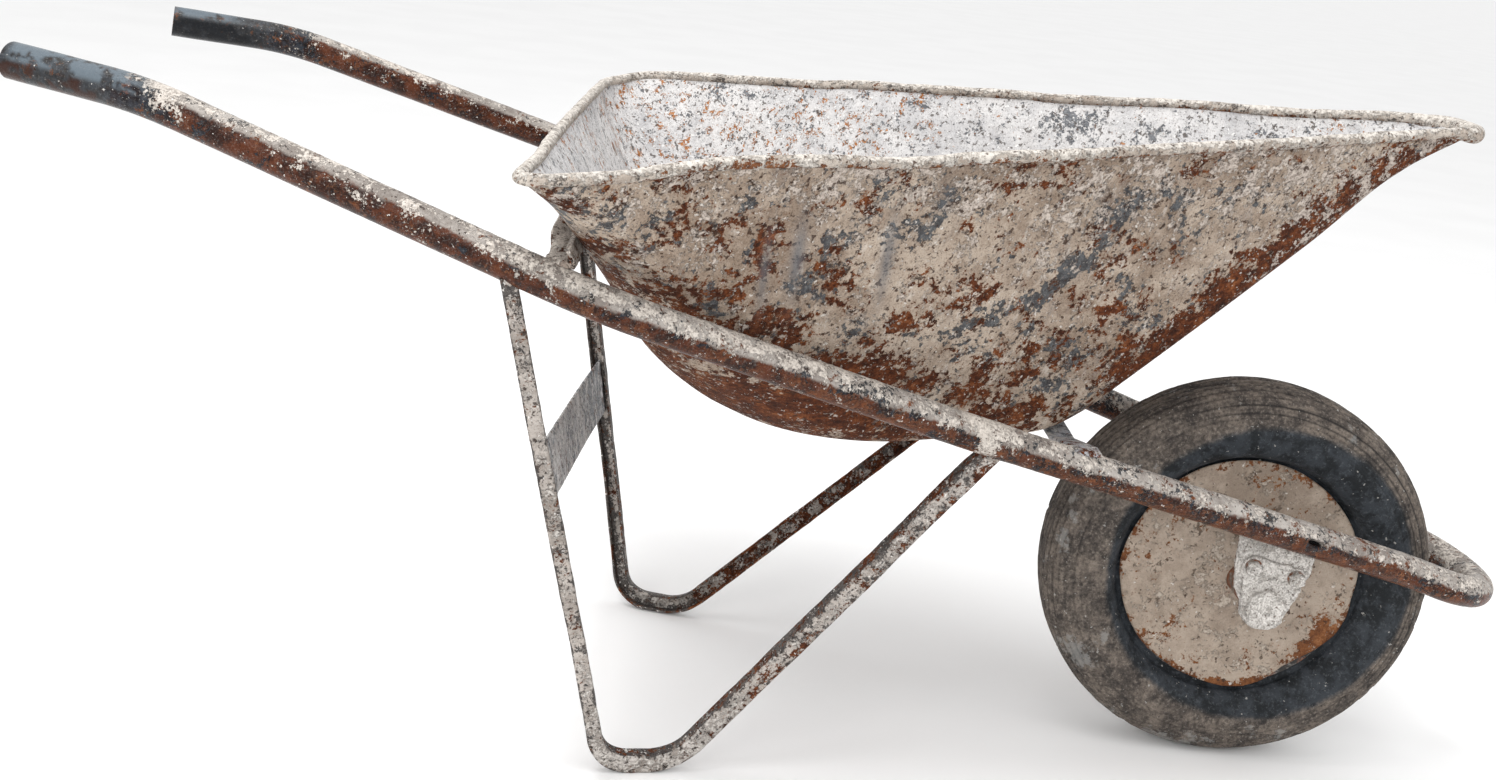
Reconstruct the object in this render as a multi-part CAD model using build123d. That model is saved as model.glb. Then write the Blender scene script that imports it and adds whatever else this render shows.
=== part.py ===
from build123d import *
import os
import math

# Single-wheel steel builder's barrow. Millimetres, +X towards the wheel, +Y to the
# left of a person pushing it, +Z up, ground at z = 0, symmetric about Y = 0.
os.makedirs("parts", exist_ok=True)

# ---------------------------------------------------------------- driving dimensions
TUBE_D = 30.0            # frame tube, outside
TUBE_WALL = 2.0
GRIP_END = (-548.8, 200.9, 577.8)      # centre of the open tube end
HANDLE_BEND = (-435.9, 236.6, 568.6)
TRAY_BEND = (-59.5, 308.1, 459.5)
MID_BEND = (258.2, 189.9, 353.8)
NOSE_BEND = (704.1, 80.0, 232.5)
LOOP_CORNER = (801.9, 76.0, 204.3)
LOOP_R = 74.0
BEND_R = [300.0, 180.0, 500.0, 150.0, LOOP_R, LOOP_R, 150.0, 500.0, 180.0, 300.0]

SHEET = 2.0              # tray sheet
BEAD_D = 11.0            # rolled edge, outside
BEAD_INSET = -1.0        # the wall's outer face stands 1 mm outside the bead's centre line
RIM_WIRE_D = 6.6
RIM_REAR = (-118.4, 368.4, 558.2)      # rear corner of the bead's centre line
RIM_LIP = (704.0, 35.8, 643.0)         # front corner of the bead's centre line
RIM_REAR_R = 17.0
RIM_LIP_R = 27.0

AXLE_X = 567.0
AXLE_Z = 189.5
AXLE_D = 16.0
AXLE_HALF = 108.0
BUSH_CLEARANCE = 0.05    # radial
TYRE_R = 189.5
TYRE_HALF_W = 43.0
RIM_FLANGE_R = 114.0
DISC_R = 117.8

LEG_WEB = 18.0           # channel: web, flange and thickness
LEG_FLANGE = 13.0
LEG_T = 2.5
LEG_REAR_TOP = (-131.0, 466.0)         # x, z
LEG_V_REAR = (-25.6, 8.3)
LEG_V_FRONT = (41.0, 8.3)
LEG_FRONT_TOP_R = (277.0, 336.0)
LEG_FRONT_TOP_L = (345.0, 316.0)
LEG_R_REAR = 35.0
LEG_R_FRONT = 52.0

BRACKET_Y = 96.0        # inner face of the axle bracket plate
BRACKET_T = 4.0
HOUSING_T = 3.0
HOUSING_D = 36.0
HOUSING_H = 9.0
BUSH_D = 28.0
BOLT_M = 8.0
BOLTS_XZ = [(550.5, 228.5), (591.5, 221.5)]


def V(*p):
    return Vector(*p)


def solid_of(obj):
    s = obj.solids()
    return s[0] if len(s) == 1 else Compound(children=list(s))


def cyl(p, axis, r, h):
    """A cylinder of radius r from p along axis for h."""
    return Plane(origin=p, z_dir=axis) * Cylinder(r, h, align=(Align.CENTER, Align.CENTER, Align.MIN))


def hexagon(p, axis, af, h, turn=0.0):
    return extrude(Plane(origin=p, z_dir=axis) * RegularPolygon(af / 2, 6, major_radius=False, rotation=turn), amount=h)


def revolve_y(points, x=AXLE_X, z=AXLE_Z):
    """Revolves a closed (y, r) outline about the axle line."""
    wire = Polyline(*[(r, y) for y, r in points], close=True)
    face = make_face(wire)
    # local x is radial, local y runs along the axle
    pl = Plane(origin=(x, 0, z), x_dir=(1, 0, 0), z_dir=(0, 0, 1))
    return revolve(pl * face, axis=Axis((x, 0, z), (0, 1, 0)), revolution_arc=360)


def mirrored(obj):
    return mirror(obj, about=Plane.XZ)


# ---------------------------------------------------------------- frame tube
left = [GRIP_END, HANDLE_BEND, TRAY_BEND, MID_BEND, NOSE_BEND, LOOP_CORNER]
route = left + [(x, -y, z) for x, y, z in reversed(left)]
frame_path = FilletPolyline(*route, radius=BEND_R)
start_dir = V(*HANDLE_BEND) - V(*GRIP_END)
start_plane = Plane(origin=GRIP_END, z_dir=start_dir)
frame_outer = sweep(start_plane * Circle(TUBE_D / 2), path=frame_path)
frame_cutter = sweep(start_plane * Circle(TUBE_D / 2 + 0.06), path=frame_path)
frame_bore = sweep(start_plane * Circle(TUBE_D / 2 - TUBE_WALL), path=frame_path)
frame_tube = frame_outer - frame_bore


def tube_centre(x):
    for a, b in zip(left, left[1:]):
        if a[0] <= x <= b[0]:
            t = (x - a[0]) / (b[0] - a[0])
            return tuple(a[k] + t * (b[k] - a[k]) for k in range(3))


# ---------------------------------------------------------------- tray
RIM_K = (RIM_LIP[2] - RIM_REAR[2]) / (RIM_LIP[0] - RIM_REAR[0])
RIM_SLOPE = (RIM_LIP[1] - RIM_REAR[1]) / (RIM_LIP[0] - RIM_REAR[0])


def rim_z(x):
    return RIM_REAR[2] + RIM_K * (x - RIM_REAR[0])


def rim_y(x):
    return RIM_REAR[1] + RIM_SLOPE * (x - RIM_REAR[0])


# Stations from the rim down to the flat of the bottom: rear point, front point (x, z),
# the inward normal at each, side inset, rear and front corner radii, side wall share.
REAR_N = (0.886, 0.463)
SLOPE_N = (-0.704, 0.710)
ARC_C = (114.0, 459.0)
ARC_R = 160.0


def arc_pt(deg):
    a = math.radians(deg)
    return (ARC_C[0] + ARC_R * math.cos(a), ARC_C[1] + ARC_R * math.sin(a)), (-math.cos(a), -math.sin(a))


stations = [
    [(-115.6, 552.6), REAR_N, (699.5, 637.4), (-0.52, 0.854), 0.0, 17.0, 27.0, 1.0],
    [(-97.5, 518.0), REAR_N, (650.0, 607.0), (-0.62, 0.785), 0.0, 42.0, 28.0, 1.0],
    [(-65.0, 456.0), REAR_N, (560.0, 517.8), SLOPE_N, 0.0, 74.0, 32.0, 1.0],
    [(-27.8, 384.9), REAR_N, (470.0, 428.6), SLOPE_N, 2.0, 90.0, 36.0, 1.0],
    [*arc_pt(223.7), (420.0, 379.0), SLOPE_N, 8.0, 92.0, 38.0, 0.95],
    [*arc_pt(239.8), (385.0, 344.1), SLOPE_N, 18.0, 90.0, 40.0, 0.8],
    [*arc_pt(255.8), (358.0, 326.5), (-0.38, 0.92), 32.0, 84.0, 36.0, 0.55],
    [*arc_pt(275.0), (331.0, 318.2), (-0.08, 1.0), 52.0, 70.0, 28.0, 0.2],
]
DRAFT_REAR = 0.405
DRAFT_FRONT = 0.35


def station_face(k, inset, lift):
    """One rounded trapezium of the tray: inset shrinks it sideways, lift moves it along its normals."""
    (rx, rz), rn, (fx, fz), fn, side, rr, fr, share = stations[k]
    yr = rim_y(rx) - DRAFT_REAR * (rim_z(rx) - rz) - side - inset * share
    yf = rim_y(fx) - DRAFT_FRONT * (rim_z(fx) - fz) - side * 0.55 - inset * share
    rx, rz = rx + rn[0] * lift, rz + rn[1] * lift
    fx, fz = fx + fn[0] * lift, fz + fn[1] * lift
    length = math.hypot(fx - rx, fz - rz)
    pl = Plane(origin=(rx, 0, rz), x_dir=((fx - rx) / length, 0, (fz - rz) / length), z_dir=(-(fz - rz) / length, 0, (fx - rx) / length))
    rr, fr = max(rr - inset * 0.6, 4), max(fr - inset * 0.6, 4)
    w = FilletPolyline((length, -yf), (length, yf), (0, yr), (0, -yr), radius=[fr, fr, rr, rr], close=True)
    return pl * make_face(w)


def tray_body(inset, lift):
    faces = [station_face(k, inset, lift) for k in range(len(stations))]
    return loft(faces, ruled=True)


tray_outer = tray_body(BEAD_INSET, BEAD_INSET)
tray_inner = tray_body(BEAD_INSET + SHEET, BEAD_INSET + SHEET)
# rolled edge: the sheet's top edge curled round a wire, made as its own ring on top of the wall
rim_pts = [RIM_LIP, (RIM_REAR[0], RIM_REAR[1], RIM_REAR[2]), (RIM_REAR[0], -RIM_REAR[1], RIM_REAR[2]), (RIM_LIP[0], -RIM_LIP[1], RIM_LIP[2])]
rim_path = FilletPolyline(*rim_pts, radius=[RIM_LIP_R, RIM_REAR_R, RIM_REAR_R, RIM_LIP_R], close=True)
bead_at = rim_path @ 0.0
bead_dir = rim_path % 0.0
bead_plane = Plane(origin=bead_at, z_dir=bead_dir)
bead = sweep(bead_plane * Circle(BEAD_D / 2), path=rim_path)
bead_bore = sweep(bead_plane * Circle(BEAD_D / 2 - SHEET), path=rim_path)
rim_wire = sweep(bead_plane * Circle(RIM_WIRE_D / 2), path=rim_path)
rim_bead = bead - bead_bore
tray_shell = tray_outer - tray_inner

# ---------------------------------------------------------------- members under the tray
# Rear cross member: a pressed angle lying on the two tubes and leaning on the rear wall.
wall_d = V(-0.463, 0, 0.886)
tube_u = (V(*TRAY_BEND) - V(*HANDLE_BEND))
tube_u = V(tube_u.X, 0, tube_u.Z).normalized()
tube_n = V(-tube_u.Z, 0, tube_u.X)
wall_n = V(-0.886, 0, -0.463)          # out of the rear wall
tube_top_pt = V(-88.0, 0, tube_centre(-88.0)[2]) + tube_n * (TUBE_D / 2 + 0.05)
wall_pt = V(-118.4, 0, 558.2) + V(0.886, 0, 0.463) * BEAD_INSET + wall_n * 0.35


def cross2(p, d, q, e):
    """Where the line p + s d meets q + t e, in the XZ plane."""
    det = d.X * (-e.Z) - (-e.X) * d.Z
    s = ((q.X - p.X) * (-e.Z) - (-e.X) * (q.Z - p.Z)) / det
    return p + d * s


c0 = cross2(tube_top_pt, tube_u, wall_pt, wall_d)
c1 = cross2(tube_top_pt + tube_n * 3.0, tube_u, wall_pt + wall_n * 3.0, wall_d)
angle_pts = [c0, c0 - tube_u * 34.0, c0 - tube_u * 34.0 + tube_n * 3.0, c1, c1 + wall_d * 27.0, c1 + wall_d * 27.0 - wall_n * 3.0]
rear_cross_member = extrude(make_face(Polyline(*[(p.X, 304.0, p.Z) for p in angle_pts], close=True)), amount=608.0, dir=(0, -1, 0))

# Front bridge: a flat bar across the two tubes under the front of the tray bottom.
BRIDGE_X = 362.0
BRIDGE_W = 24.0
BRIDGE_T = 4.0
bt = tube_centre(BRIDGE_X)
top = bt[2] + TUBE_D / 2 + 1.2
low = 322.0
bridge_side = [(-bt[1] - 10, top), (-bt[1] + 6, top), (-74.0, low), (74.0, low), (bt[1] - 6, top), (bt[1] + 10, top)]
bridge_line = Plane(origin=(BRIDGE_X, 0, 0), x_dir=(0, 1, 0), z_dir=(1, 0, 0)) * FilletPolyline(*bridge_side, radius=[14, 20, 20, 14])
sec = Plane(origin=bridge_line @ 0, x_dir=(1, 0, 0), z_dir=bridge_line % 0) * Rectangle(BRIDGE_W, BRIDGE_T)
front_bridge = sweep(sec, path=bridge_line)
front_bridge = front_bridge - frame_cutter - tray_outer.moved(Location((0, 0, -0.15)))

# ---------------------------------------------------------------- legs
def plane_y(a, b, c):
    """The y = k0 + k1 x + k2 z through three points."""
    (x1, y1, z1), (x2, y2, z2), (x3, y3, z3) = a, b, c
    det = (x2 - x1) * (z3 - z1) - (x3 - x1) * (z2 - z1)
    k1 = ((y2 - y1) * (z3 - z1) - (y3 - y1) * (z2 - z1)) / det
    k2 = ((x2 - x1) * (y3 - y1) - (x3 - x1) * (y2 - y1)) / det
    return y1 - k1 * x1 - k2 * z1, k1, k2


def leg(front_top, side):
    """A channel bent into a round-bottomed V; side is +1 for the left leg. Web outward."""
    yr = tube_centre(LEG_REAR_TOP[0])[1] + 9.0
    yf = tube_centre(front_top[0])[1] + 7.0
    k0, k1, k2 = plane_y((LEG_REAR_TOP[0], yr, LEG_REAR_TOP[1]), (front_top[0], yf, front_top[1]), (5.0, 181.0, 8.3))
    up_r = V(LEG_REAR_TOP[0] - LEG_V_REAR[0], 0, LEG_REAR_TOP[1] - LEG_V_REAR[1]).normalized() * 9.0
    up_f = V(front_top[0] - LEG_V_FRONT[0], 0, front_top[1] - LEG_V_FRONT[1]).normalized() * 9.0
    pts = [(LEG_REAR_TOP[0] + up_r.X, LEG_REAR_TOP[1] + up_r.Z), LEG_V_REAR, LEG_V_FRONT, (front_top[0] + up_f.X, front_top[1] + up_f.Z)]
    pts = [(x, (k0 + k1 * x + k2 * z), z) for x, z in pts]
    n = V(-k1, 1.0, -k2).normalized()      # outward
    path = FilletPolyline(*pts, radius=[LEG_R_REAR, LEG_R_FRONT])
    d = (V(*pts[1]) - V(*pts[0])).normalized()
    pl = Plane(origin=pts[0], x_dir=n.cross(d), z_dir=d)
    s = 1.0 if pl.y_dir.dot(n) > 0 else -1.0
    w, f, t = LEG_WEB / 2, LEG_FLANGE, LEG_T
    prof = [(-w, 0), (w, 0), (w, -f), (w - t, -f), (w - t, -t), (-w + t, -t), (-w + t, -f), (-w, -f)]
    face = make_face(Polyline(*[(u, s * v) for u, v in prof], close=True))
    body = sweep(pl * face, path=path)
    body = body - Box(2000, 2000, 100, align=(Align.CENTER, Align.CENTER, Align.MAX))     # worn flat foot
    return body, (k0, k1, k2), n


leg_l, leg_l_plane, leg_l_n = leg(LEG_FRONT_TOP_L, 1)
leg_r, leg_r_plane, leg_r_n = leg(LEG_FRONT_TOP_R, -1)
leg_right_raw = mirrored(leg_r)


def below_tube(obj, ends):
    """Copes the leg ends to the tube and drops what pokes through above it."""
    cut = obj - frame_cutter
    parts = sorted(cut.solids(), key=lambda q: -q.volume)
    return parts[0]


leg_left = below_tube(leg_l, None)
leg_right = below_tube(leg_right_raw, None)

# Leg brace: a flat strap between the rear arms, inside both channels.
def arm_point(plane, z, inward):
    k0, k1, k2 = plane
    t = (z - LEG_V_REAR[1]) / (LEG_REAR_TOP[1] - LEG_V_REAR[1])
    x = LEG_V_REAR[0] + t * (LEG_REAR_TOP[0] - LEG_V_REAR[0])
    return x, k0 + k1 * x + k2 * z - inward, z


bl_top = arm_point(leg_l_plane, 256.0, 4.6)
bl_low = arm_point(leg_l_plane, 203.0, 4.6)
br_top = arm_point(leg_r_plane, 327.0, 4.6)
br_low = arm_point(leg_r_plane, 275.0, 4.6)
arm_d = (V(LEG_REAR_TOP[0], 0, LEG_REAR_TOP[1]) - V(LEG_V_REAR[0], 0, LEG_V_REAR[1])).normalized()
brace_pl = Plane(origin=(LEG_V_REAR[0], 0, LEG_V_REAR[1]), x_dir=(0, 1, 0), z_dir=V(0, 1, 0).cross(arm_d))


def in_brace(p, sgn):
    q = V(p[0] - LEG_V_REAR[0], 0, p[2] - LEG_V_REAR[1])
    return (sgn * p[1], q.dot(arm_d))


quad = make_face(Polyline(in_brace(bl_top, 1), in_brace(bl_low, 1), in_brace(br_low, -1), in_brace(br_top, -1), close=True))
leg_brace = extrude(brace_pl * quad, amount=1.5, both=True)

# ---------------------------------------------------------------- axle brackets and bearings
def bracket(side):
    y0 = side * BRACKET_Y
    outline = [(533.5, 276), (607.5, 256), (606, 226), (587, 183), (567, 167.5), (547, 183), (534.5, 228)]
    pl = Plane(origin=(0, y0, 0), x_dir=(1, 0, 0), z_dir=(0, -1, 0))
    face = make_face(Polyline(*outline, close=True)) + Pos(AXLE_X, AXLE_Z) * Circle(22)
    b = extrude(pl * face, amount=-side * BRACKET_T)
    b = b - cyl((AXLE_X, y0 - side * 5, AXLE_Z), (0, side, 0), 11.0, 20)
    for x, z in BOLTS_XZ:
        b = b - cyl((x, y0 - side * 5, z), (0, side, 0), 4.25, 20)
    b = b - frame_cutter
    return sorted(b.solids(), key=lambda q: -q.volume)[0]


def housing(side):
    y0 = side * (BRACKET_Y + BRACKET_T + 0.02)
    pl = Plane(origin=(0, y0, 0), x_dir=(1, 0, 0), z_dir=(0, -1, 0))
    pads = [Pos(x, z) * Circle(9.5) for x, z in BOLTS_XZ] + [Pos(AXLE_X, AXLE_Z) * Circle(20.5)]
    edges = []
    for p in pads:
        edges += p.edges()
    flange = extrude(pl * make_hull(edges), amount=-side * HOUSING_T)
    cup = cyl((AXLE_X, y0, AXLE_Z), (0, side, 0), HOUSING_D / 2, HOUSING_T + HOUSING_H)
    h = flange + cup
    outer_edges = [e for e in h.edges().filter_by(GeomType.CIRCLE) if abs(e.arc_center.Y - (y0 + side * (HOUSING_T + HOUSING_H))) < 0.01]
    h = fillet(outer_edges, 3.0)
    h = h - cyl((AXLE_X, y0 - side, AXLE_Z), (0, side, 0), BUSH_D / 2, 1 + HOUSING_T + HOUSING_H - 2.5)
    for x, z in BOLTS_XZ:
        h = h - cyl((x, y0 - side, z), (0, side, 0), 4.25, 20)
    return solid_of(h)


def bush(side):
    y0 = side * (BRACKET_Y + BRACKET_T + 0.3)
    b = cyl((AXLE_X, y0, AXLE_Z), (0, side, 0), BUSH_D / 2 - 0.03, 8.0) - cyl((AXLE_X, y0 - side, AXLE_Z), (0, side, 0), AXLE_D / 2 + BUSH_CLEARANCE, 13)
    return solid_of(b)


axle_bracket_left, axle_bracket_right = bracket(1), bracket(-1)
bearing_housing_left, bearing_housing_right = housing(1), housing(-1)
bearing_bush_left, bearing_bush_right = bush(1), bush(-1)

bolts, nuts, washers = [], [], []
for side in (1, -1):
    face_out = side * (BRACKET_Y + BRACKET_T + 0.02 + HOUSING_T)
    face_in = side * BRACKET_Y
    for k, (x, z) in enumerate(BOLTS_XZ):
        d = (0, side, 0)
        washers.append(cyl((x, face_out + side * 0.02, z), d, 8.0, 1.6) - cyl((x, face_out - side, z), d, 4.3, 5))
        y_head = face_out + side * 1.64
        head = hexagon((x, y_head, z), d, 13.0, 5.3, turn=17 + 24 * k)
        shank = cyl((x, y_head, z), (0, -side, 0), BOLT_M / 2, 20.0)
        bolts.append(head + shank)
        nut = hexagon((x, face_in - side * 0.02, z), (0, -side, 0), 13.0, 6.5, turn=5 + 20 * k)
        nuts.append(nut - cyl((x, face_in + side, z), (0, -side, 0), BOLT_M / 2 + 0.02, 12))
bracket_bolts = Compound(children=[solid_of(b) for b in bolts])
bracket_nuts = Compound(children=[solid_of(b) for b in nuts])
bracket_washers = Compound(children=[solid_of(b) for b in washers])

# ---------------------------------------------------------------- tray bolts (carriage bolts, nuts, washers)
t_bolts, t_nuts, t_washers = [], [], []


def tray_bolt(p, n, stack):
    """A mushroom-head bolt seated on the sheet's inner face at p, pointing along n (outward)."""
    p, n = V(*p), V(*n).normalized()
    head = cyl(p - n * 3.2, n, 9.0, 3.2)
    top_edges = [e for e in head.edges().filter_by(GeomType.CIRCLE) if (e.arc_center - (p - n * 3.2)).length < 0.01]
    head = fillet(top_edges, 2.6)
    shank = cyl(p, n, 3.95, stack + 15.0)
    t_bolts.append(solid_of(head + shank))
    q = p + n * (stack + 0.02)
    t_washers.append(solid_of(cyl(q, n, 8.5, 1.6) - cyl(q - n, n, 4.3, 4)))
    q = q + n * 1.64
    t_nuts.append(solid_of(hexagon(q, n, 13.0, 6.5, turn=12) - cyl(q - n, n, 3.97, 12)))


holes = []
# rear pair, through the rear wall and the upper flange of the cross member
wall_in = V(-118.4, 0, 558.2) + V(0.886, 0, 0.463) * (BEAD_INSET + SHEET)
mid_f = c1 + wall_d * 16.0
s_along = (mid_f - wall_in).dot(wall_d)
rear_pt = wall_in + wall_d * s_along
for y in (-170.0, 170.0):
    p = (rear_pt.X, y, rear_pt.Z)
    holes.append((p, wall_n))
    tray_bolt(p, (wall_n.X, 0, wall_n.Z), SHEET + 0.35 + 3.0)
tray_holes = [cyl(V(*p) - n * 8, n, 4.3, 30) for p, n in holes]
for h in tray_holes:
    tray_shell = tray_shell - h
    rear_cross_member = rear_cross_member - h

# ---------------------------------------------------------------- wheel
axle = cyl((AXLE_X, -AXLE_HALF, AXLE_Z), (0, 1, 0), AXLE_D / 2, 2 * AXLE_HALF)
axle = chamfer(axle.edges().filter_by(GeomType.CIRCLE), 1.0)
hub_tube = revolve_y([(-91.5, 8.02), (91.5, 8.02), (91.5, 14.0), (-91.5, 14.0)])
thrust = []
for side in (1, -1):
    thrust.append(solid_of(cyl((AXLE_X, side * 91.55, AXLE_Z), (0, side, 0), 15.0, 3.0) - cyl((AXLE_X, side * 90, AXLE_Z), (0, side, 0), 8.04, 6)))
thrust_washers = Compound(children=thrust)

rim_out = [(-24, RIM_FLANGE_R), (-22, 111), (-21.2, 104.5), (-19.5, 101.5), (-12.5, 101.0), (-8, 89.0), (8, 89.0), (12.5, 101.0), (19.5, 101.5), (21.2, 104.5), (22, 111.0), (24, RIM_FLANGE_R)]
rim_in = [(24, RIM_FLANGE_R - 1.7), (23.7, 110.5), (23.3, 104), (20.5, 99.1), (14, 98.7), (9.3, 86.6), (-9.3, 86.6), (-14, 98.7), (-20.5, 99.1), (-23.3, 104), (-23.7, 110.5), (-24, RIM_FLANGE_R - 1.7)]
wheel_rim = revolve_y(rim_out + rim_in)


def disc(side):
    face = [(34.0, 14.1), (34.0, 30.0), (33.0, 34.5), (28.5, 50.0), (26.6, 58.0), (26.3, 100.0), (26.6, 110.0), (26.4, 115.0), (25.0, DISC_R)]
    back = [(24.05, DISC_R - 0.8), (24.15, 114.5), (24.15, 100.0), (24.15, 58.0), (26.3, 48.5), (30.8, 33.5), (31.8, 30.0), (31.8, 14.1)]
    return revolve_y([(side * y, r) for y, r in face + back])


wheel_disc_left, wheel_disc_right = disc(1), disc(-1)
VALVE_R = 93.0
valve_at = (AXLE_X - VALVE_R, 0, AXLE_Z)
valve_hole = cyl((valve_at[0], 5.0, valve_at[2]), (0, 1, 0), 5.0, 60)
access = cyl((valve_at[0], 22.0, valve_at[2]), (0, 1, 0), 8.0, 20)
wheel_rim = wheel_rim - valve_hole
wheel_disc_left = wheel_disc_left - access
valve_stem = cyl((valve_at[0], 6.2, valve_at[2]), (0, 1, 0), 4.0, 26.0)
valve_cap = cyl((valve_at[0], 28.5, valve_at[2]), (0, 1, 0), 5.0, 7.5) - cyl((valve_at[0], 27.5, valve_at[2]), (0, 1, 0), 4.03, 5.5)

W = TYRE_HALF_W
tyre_out = [(0, TYRE_R), (14, TYRE_R - 0.6), (24, TYRE_R - 3.6), (31.5, TYRE_R - 9.0), (36.5, TYRE_R - 16.5), (41.0, 160), (W, 148), (41.5, 136), (37.0, 127), (31.0, 121.8), (26.0, 120.2), (23.2, 119.0), (21.5, 115.5), (20.8, 111), (20.1, 105), (18.7, 102.3), (12.6, 101.9)]
tyre_in = [(13.0, 106), (15.5, 110), (18.5, 118), (24, 125.5), (33, 132), (37, 141), (38, 148), (36.5, 158), (32, 168), (25, 176), (12, 180.5), (0, 181.5)]
ring = [(y, r) for y, r in tyre_out] + tyre_in + [(-y, r) for y, r in reversed(tyre_in[:-1])] + [(-y, r) for y, r in reversed(tyre_out[1:])]
tyre = revolve_y(ring)

tube_out = [(0, 180.7), (12, 179.7), (24.6, 175.3), (31.4, 167.5), (35.8, 157.7), (37.2, 148), (36.2, 141.3), (32.5, 132.8), (23.5, 126.4), (17.8, 118.6), (14.7, 110.4), (12.0, 106.6), (11.4, 102.4), (7.3, 90.2), (0, 89.8)]
tube_in = [(0, 92.0), (5.8, 92.2), (9.1, 102.9), (9.8, 107.4), (12.7, 111.6), (15.9, 119.6), (22.3, 128.3), (31, 134.6), (34, 142), (35, 148), (33.7, 157), (29.6, 166), (23.6, 173.2), (11.6, 177.5), (0, 178.5)]
profile_half = tube_out + tube_in
half_ring = revolve_y(profile_half)
inner_tube = half_ring + mirrored(half_ring)
inner_tube = inner_tube - cyl((valve_at[0], 3.0, valve_at[2]), (0, 1, 0), 4.05, 60)

nodes = {
    "frame_tube": frame_tube,
    "leg_left": leg_left,
    "leg_right": leg_right,
    "leg_brace": leg_brace,
    "rear_cross_member": rear_cross_member,
    "front_bridge": front_bridge,
    "tray_shell": tray_shell,
    "rim_bead": rim_bead,
    "rim_wire": rim_wire,
    "tray_bolts": Compound(children=t_bolts),
    "tray_nuts": Compound(children=t_nuts),
    "tray_washers": Compound(children=t_washers),
    "axle_bracket_left": axle_bracket_left,
    "axle_bracket_right": axle_bracket_right,
    "bearing_housing_left": bearing_housing_left,
    "bearing_housing_right": bearing_housing_right,
    "bearing_bush_left": bearing_bush_left,
    "bearing_bush_right": bearing_bush_right,
    "bracket_bolts": bracket_bolts,
    "bracket_nuts": bracket_nuts,
    "bracket_washers": bracket_washers,
    "axle": axle,
    "hub_tube": hub_tube,
    "thrust_washers": thrust_washers,
    "wheel_rim": wheel_rim,
    "wheel_disc_left": wheel_disc_left,
    "wheel_disc_right": wheel_disc_right,
    "valve_stem": valve_stem,
    "valve_cap": valve_cap,
    "tyre": tyre,
    "inner_tube": inner_tube,
}

# origin: centre of the overall length, on the ground
lo = min(o.bounding_box().min.X for o in nodes.values())
hi = max(o.bounding_box().max.X for o in nodes.values())
XC = (lo + hi) / 2
print("overall x", round(lo, 2), round(hi, 2), "shift", round(XC, 3))
for name, obj in nodes.items():
    moved = obj.moved(Location((-XC, 0, 0)))
    bb = moved.bounding_box()
    print(f"{name:24s} solids {len(moved.solids())} vol {moved.volume:12.1f} x {bb.min.X:8.1f} {bb.max.X:8.1f} y {bb.min.Y:8.1f} {bb.max.Y:8.1f} z {bb.min.Z:8.2f} {bb.max.Z:8.1f}")
    export_step(moved, f"parts/{name}.step")
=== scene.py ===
import bpy, math
import numpy as np
from mathutils import Vector, Matrix


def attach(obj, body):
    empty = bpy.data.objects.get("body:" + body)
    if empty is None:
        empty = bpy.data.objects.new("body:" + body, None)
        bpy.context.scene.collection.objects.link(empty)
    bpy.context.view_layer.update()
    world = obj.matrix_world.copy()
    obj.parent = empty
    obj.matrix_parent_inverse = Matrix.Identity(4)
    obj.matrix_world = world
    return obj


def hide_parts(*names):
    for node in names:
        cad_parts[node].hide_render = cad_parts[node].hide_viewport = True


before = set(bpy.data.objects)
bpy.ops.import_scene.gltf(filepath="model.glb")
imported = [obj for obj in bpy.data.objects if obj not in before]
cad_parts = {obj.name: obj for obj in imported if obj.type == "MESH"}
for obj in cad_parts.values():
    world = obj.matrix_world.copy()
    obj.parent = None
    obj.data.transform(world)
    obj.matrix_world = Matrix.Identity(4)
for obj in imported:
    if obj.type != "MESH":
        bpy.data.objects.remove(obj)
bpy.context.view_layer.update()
XC = 131.722                      # the model's own x of the origin, mm


# ================================================================= numbers and noise
def lin(c):
    return c / 12.92 if c <= 0.04045 else ((c + 0.055) / 1.055) ** 2.4


def rgb(r, g, b):
    return (lin(r / 255), lin(g / 255), lin(b / 255), 1.0)


def _hash(ix, iy, iz, seed):
    h = (ix * 374761393 + iy * 668265263 + iz * 1442695041 + seed * 1274126177) & 0xFFFFFFFF
    h = ((h ^ (h >> 13)) * 1274126177) & 0xFFFFFFFF
    h = ((h ^ (h >> 15)) * 2246822519) & 0xFFFFFFFF
    return ((h ^ (h >> 16)) & 0xFFFF) / 65535.0


def vnoise(p, seed=0):
    i = np.floor(p).astype(np.int64)
    f = p - i
    f = f * f * f * (f * (f * 6 - 15) + 10)
    out = 0.0
    for dx in (0, 1):
        wx = f[..., 0] if dx else 1 - f[..., 0]
        for dy in (0, 1):
            wy = f[..., 1] if dy else 1 - f[..., 1]
            for dz in (0, 1):
                wz = f[..., 2] if dz else 1 - f[..., 2]
                out = out + wx * wy * wz * _hash(i[..., 0] + dx, i[..., 1] + dy, i[..., 2] + dz, seed)
    return out


def fbm(p, size, octaves=4, seed=0, gain=0.5):
    """Smooth noise, 0..1, with its largest lumps about size mm across; p in mm."""
    tot, amp, norm = 0.0, 1.0, 0.0
    q = np.asarray(p, float) / size
    for k in range(octaves):
        tot = tot + amp * vnoise(q + 17.3 * k, seed + 31 * k)
        norm += amp
        amp *= gain
        q = q * 2.03
    return tot / norm


def sstep(x, a, b):
    t = np.clip((x - a) / (b - a), 0, 1)
    return t * t * (3 - 2 * t)


def unit(v):
    v = np.asarray(v, float)
    return v / np.maximum(np.linalg.norm(v, axis=-1, keepdims=True), 1e-12)


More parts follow.
